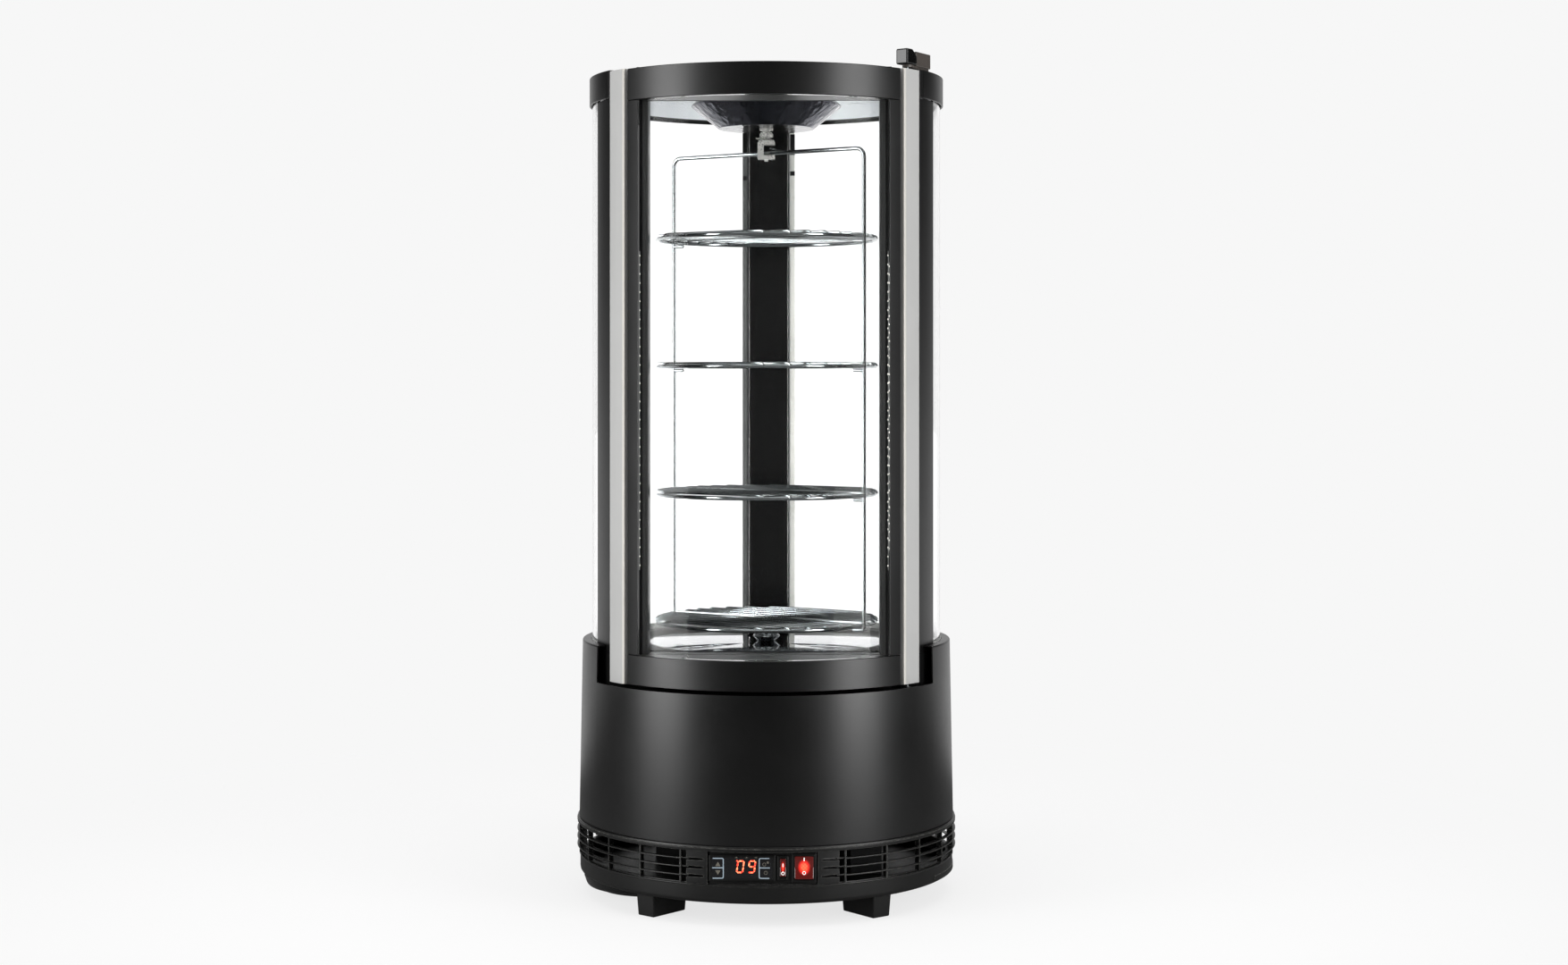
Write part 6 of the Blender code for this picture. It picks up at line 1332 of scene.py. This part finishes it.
# Door lights: a grey circuit strip in a clear sleeve down each stile, with thirty-five small lamps.
# The light of all the lamps of a strip comes from one long lamp a little way into the cabin.
LAMP_COUNT = 35
LAMP_RADIUS = 0.0011
LAMP_RISE = 0.0006
LAMP_WATTS = 0.75
GLOW_INSET = 0.78
GLOW_WIDTH = 0.006
circuit_grey = surface("sleeved_circuit_strip", ("#525352", "#696a69"), (0.3, 0.42), 3.0, 0.004)
lit_lamp = surface("lit_white_lamp", ("#f4f1e2", "#ffffff"), (0.2, 0.3), 2.0, 0.004,
                   constants={"Emission Color": linear("#fffaf0"), "Emission Strength": 0.6})
for label, way in (("right", 1), ("left", -1)):
    low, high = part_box(f"led_strip_{label}")
    inner_face, outer_face = (low.x, high.x) if way > 0 else (high.x, low.x)
    inner_face += way * LAMP_RISE
    left, right = sorted((inner_face, outer_face))
    sleeve = span((left, low.y, low.z), (right, high.y, high.z))
    show(f"light_strip_{label}", sleeve, circuit_grey, "door", [f"led_strip_{label}"], 0.0003)
    length = high.z - low.z
    flattened = Matrix.Diagonal((LAMP_RISE / LAMP_RADIUS, 1.0, 1.0, 1.0))
    lamps = bmesh.new()
    for number in range(LAMP_COUNT):
        z = low.z + length * (number + 0.5) / LAMP_COUNT
        where = Matrix.Translation((inner_face, (low.y + high.y) / 2, z)) @ flattened
        bmesh.ops.create_uvsphere(lamps, u_segments=12, v_segments=8, radius=LAMP_RADIUS, matrix=where)
    show(f"light_strip_lamps_{label}", lamps, lit_lamp, "door")
    middle = (low.z + high.z) / 2
    inside = Vector((inner_face * GLOW_INSET, low.y * GLOW_INSET, middle))
    glow = soft_light("light_strip_glow", GLOW_WIDTH, length, LAMP_WATTS, inside, Vector((0.0, 0.0, middle)))
    glow.visible_transmission = False
    glow.visible_glossy = False


# Turning rack: one chromed rod bent to a top bar and two uprights with hooked feet and short pegs.
# Four shelves of chromed wire rest on the pegs; their cross wires are bent down over the rim and spot welded.
RACK_ANGLE = -32.0
ROD_RADIUS = 0.0025
ROD_CIRCLE = 0.1355
ROD_BEND = 0.010
HOOK_BEND = 0.005
PEG_RADIUS = 0.002
PEG_LENGTH = 0.014
SHELF_CIRCLE = 0.1302
SHELF_WIRE = 0.0025
CROSS_WIRE = 0.0015
CROSS_WIRE_COUNT = 13
WIRE_END = ((-0.0016, 0.0034), (0.0004, 0.0030), (0.0018, 0.0018), (0.0026, 0.0002))
MIDDLE_WIRE_END = ((0.0008, 0.0032),)


def on_rack(reach, level, aside=0.0):
    """A point of the rack, some way along its bar and beside it."""
    turn = radians(RACK_ANGLE)
    return Vector((reach * cos(turn) - aside * sin(turn), reach * sin(turn) + aside * cos(turn), level))


def tube(path, radius, sides=14, into=None):
    """A round wire along a path of points, with flat ends."""
    path = [Vector(point) for point in path]
    turns = [2 * pi * k / sides for k in range(sides)]
    normal, rings = None, []
    for i, point in enumerate(path):
        along = (path[min(i + 1, len(path) - 1)] - path[max(i - 1, 0)]).normalized()
        normal = along.orthogonal() if normal is None else normal - along * normal.dot(along)
        normal.normalize()
        aside = along.cross(normal)
        rings.append([point + (normal * cos(turn) + aside * sin(turn)) * radius for turn in turns])
    return skin(rings, into=into)


def on_both_ends(half_path, aside=0.0):
    """A path over the whole rack from its (reach, level) points on one side."""
    return ([on_rack(-reach, level, aside) for reach, level in reversed(half_path)]
            + [on_rack(reach, level, aside) for reach, level in half_path])


rack_low, rack_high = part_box("rack_frame")
bar_level = rack_high.z - ROD_RADIUS
foot_level = rack_low.z + ROD_RADIUS
half_path = []
for turn in (radians(90 * i / 8) for i in range(9)):
    half_path.append((ROD_CIRCLE - ROD_BEND * (1 - sin(turn)), bar_level - ROD_BEND * (1 - cos(turn))))
for turn in (radians(90 * i / 6) for i in range(7)):
    half_path.append((ROD_CIRCLE - HOOK_BEND * (1 - cos(turn)), foot_level + HOOK_BEND * (1 - sin(turn))))
half_path.append((ROD_CIRCLE - PEG_LENGTH, foot_level))
rack_shape = tube(on_both_ends(half_path), ROD_RADIUS)
shelf_levels = [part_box(f"shelf_{number}")[0].z + SHELF_WIRE for number in range(1, 5)]
for level in shelf_levels[:3]:
    peg_level = level - SHELF_WIRE - GAP - PEG_RADIUS
    for side in (1, -1):
        peg = [on_rack(side * reach, peg_level) for reach in (ROD_CIRCLE, ROD_CIRCLE - PEG_LENGTH)]
        tube(peg, PEG_RADIUS, 12, rack_shape)
show("chromed_rack_rod", rack_shape, chrome_plate, "rack", ["rack_frame"])

for number, level in enumerate(shelf_levels, 1):
    shelf_shape = swept([(SHELF_CIRCLE + u, level + v) for u, v in circle(SHELF_WIRE, 14)], steps=120)
    for wire in range(CROSS_WIRE_COUNT):
        offset = 2 * SHELF_CIRCLE * (wire + 1) / (CROSS_WIRE_COUNT + 1) - SHELF_CIRCLE
        half = sqrt(SHELF_CIRCLE ** 2 - offset ** 2)
        ends = MIDDLE_WIRE_END if wire == CROSS_WIRE_COUNT // 2 else WIRE_END
        wire_path = on_both_ends([(half + out, level + rise) for out, rise in ends], offset)
        tube(wire_path, CROSS_WIRE, 10, shelf_shape)
    show(f"wire_shelf_{number}", shelf_shape, chrome_plate, "rack", [f"shelf_{number}"])


# Drive coupling: a satin nickel spindle with two hexagon nuts, a locking lever and a flange over a C-clamp.
# The clamp grips the top bar from the left, with a bolt from below and a spring clip beside it.
SPINDLE_RADIUS = 0.0045
FLANGE_RADIUS = 0.0095
NUT_RADIUS = 0.008
NUT_HEIGHT = 0.005
NUT_SPACING = 0.003
CLAMP_PLATE = 0.003
CLAMP_FOOT = 0.0045
CLAMP_WEB = 0.007
CLAMP_HEIGHT = 0.020
CLAMP_HALF = (0.01025, 0.008)
BOLT_RADIUS = 0.0024
BOLT_HEAD = 0.0025
LEVER_RADIUS = 0.0010
LEVER_PATH = ((0.0, 0.0), (-0.006, 0.0), (-0.0082, 0.0005), (-0.0105, 0.0001), (-0.0125, 0.0011))
SPRING_RADIUS = 0.0009
SPRING_PATH = ((0.0050, 0.0034), (0.0085, 0.0030), (0.0125, 0.0014), (0.0165, 0.0004), (0.0205, 0.0008))
coupling_low, coupling_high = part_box("drive_coupling")
stack_top = coupling_high.z
clamp_low = coupling_low.z + BOLT_HEAD
clamp_top = clamp_low + CLAMP_HEIGHT
flange_top = clamp_top + NUT_SPACING
upper_nut = stack_top - NUT_HEIGHT
lower_nut_top = upper_nut - NUT_SPACING
# Round and many-sided discs as (radius, bottom, top, sides, chamfer)
TURNED_PARTS = (
    (SPINDLE_RADIUS, clamp_top - 0.001, stack_top - 0.001, 24, 0.0006),
    (FLANGE_RADIUS, clamp_top - 0.0002, flange_top, 32, 0.0006),
    (NUT_RADIUS * 0.8, flange_top + 0.0002, flange_top + 0.0014, 32, 0.0004),
    (NUT_RADIUS, lower_nut_top - NUT_HEIGHT, lower_nut_top, 6, 0.0006),
    (NUT_RADIUS * 0.86, lower_nut_top + 0.0002, lower_nut_top + 0.0011, 32, 0.0003),
    (NUT_RADIUS, upper_nut, stack_top, 6, 0.0006),
    (BOLT_RADIUS, coupling_low.z, clamp_low + 0.001, 6, 0.0003),
)
stack_shape = bmesh.new()
for radius, low, high, sides, chamfer in TURNED_PARTS:
    rims = ((radius - chamfer, low), (radius, low + chamfer), (radius, high - chamfer), (radius - chamfer, high))
    skin([[(u, v, z) for u, v in circle(r, sides)] for r, z in rims], into=stack_shape)
lever_level = flange_top + 0.0016
tube([(x, 0.0, lever_level + rise) for x, rise in LEVER_PATH], LEVER_RADIUS, 12, stack_shape)
clamp_half, clamp_depth = CLAMP_HALF
foot_top, plate_bottom, web_end = clamp_low + CLAMP_FOOT, clamp_top - CLAMP_PLATE, CLAMP_WEB - clamp_half
clamp_outline = rounded([
    (-clamp_half, clamp_low, 0.001), (clamp_half, clamp_low, 0.001),
    (clamp_half, foot_top, 0.001), (web_end, foot_top, 0.001),
    (web_end, plate_bottom, 0.001), (clamp_half, plate_bottom, 0.0008),
    (clamp_half, clamp_top, 0.0008), (-clamp_half, clamp_top, 0.001),
], 3)
upright(clamp_outline, (0.0, 0.0), (-clamp_depth, clamp_depth), stack_shape)
show("drive_coupling_stack", stack_shape, cast_nickel, "rack", ["drive_coupling"], 0.0002)
spring_shape = tube([on_rack(reach, rack_high.z + rise) for reach, rise in SPRING_PATH], SPRING_RADIUS, 10)
show("bar_spring_clip", spring_shape, chrome_plate, "rack")


# Machine room and evaporator: bought-in parts behind the louvres and under the floor.
# Those behind the louvres are black so that the openings stay dark: the compressor and fan parts are dead matt
# black, the condenser's coil is painted black as painted shade, and the evaporator's coil is bare aluminium.
# Stove enamel: a dead matt black on the compressor and the sheet parts
stove_enamel = surface("matt_black_stove_enamel", ("#040404", "#080808"), (0.72, 0.86), 3.0, 0.01,
                       constants={"Specular IOR Level": 0.15})
# Shade-dark fins: aluminium painted near black as painted shade behind the louvres, with a dull grey in places
shade_dark_fins = surface("painted_shade_aluminium_fins", ("#0d0e0e", "#181919"), (0.55, 0.7), 2.0, 0.02, 0.3)
for name, finish in {
    "compressor": stove_enamel, "condenser_fan_shroud": stove_enamel, "condenser_fan_motor": stove_enamel,
    "evaporator_fan_motor": powder_coat, "condenser_coil": shade_dark_fins, "evaporator_coil": bare_aluminium,
    "condenser_fan": panel_abs, "evaporator_fan": panel_abs,
}.items():
    finish_node(name, finish)
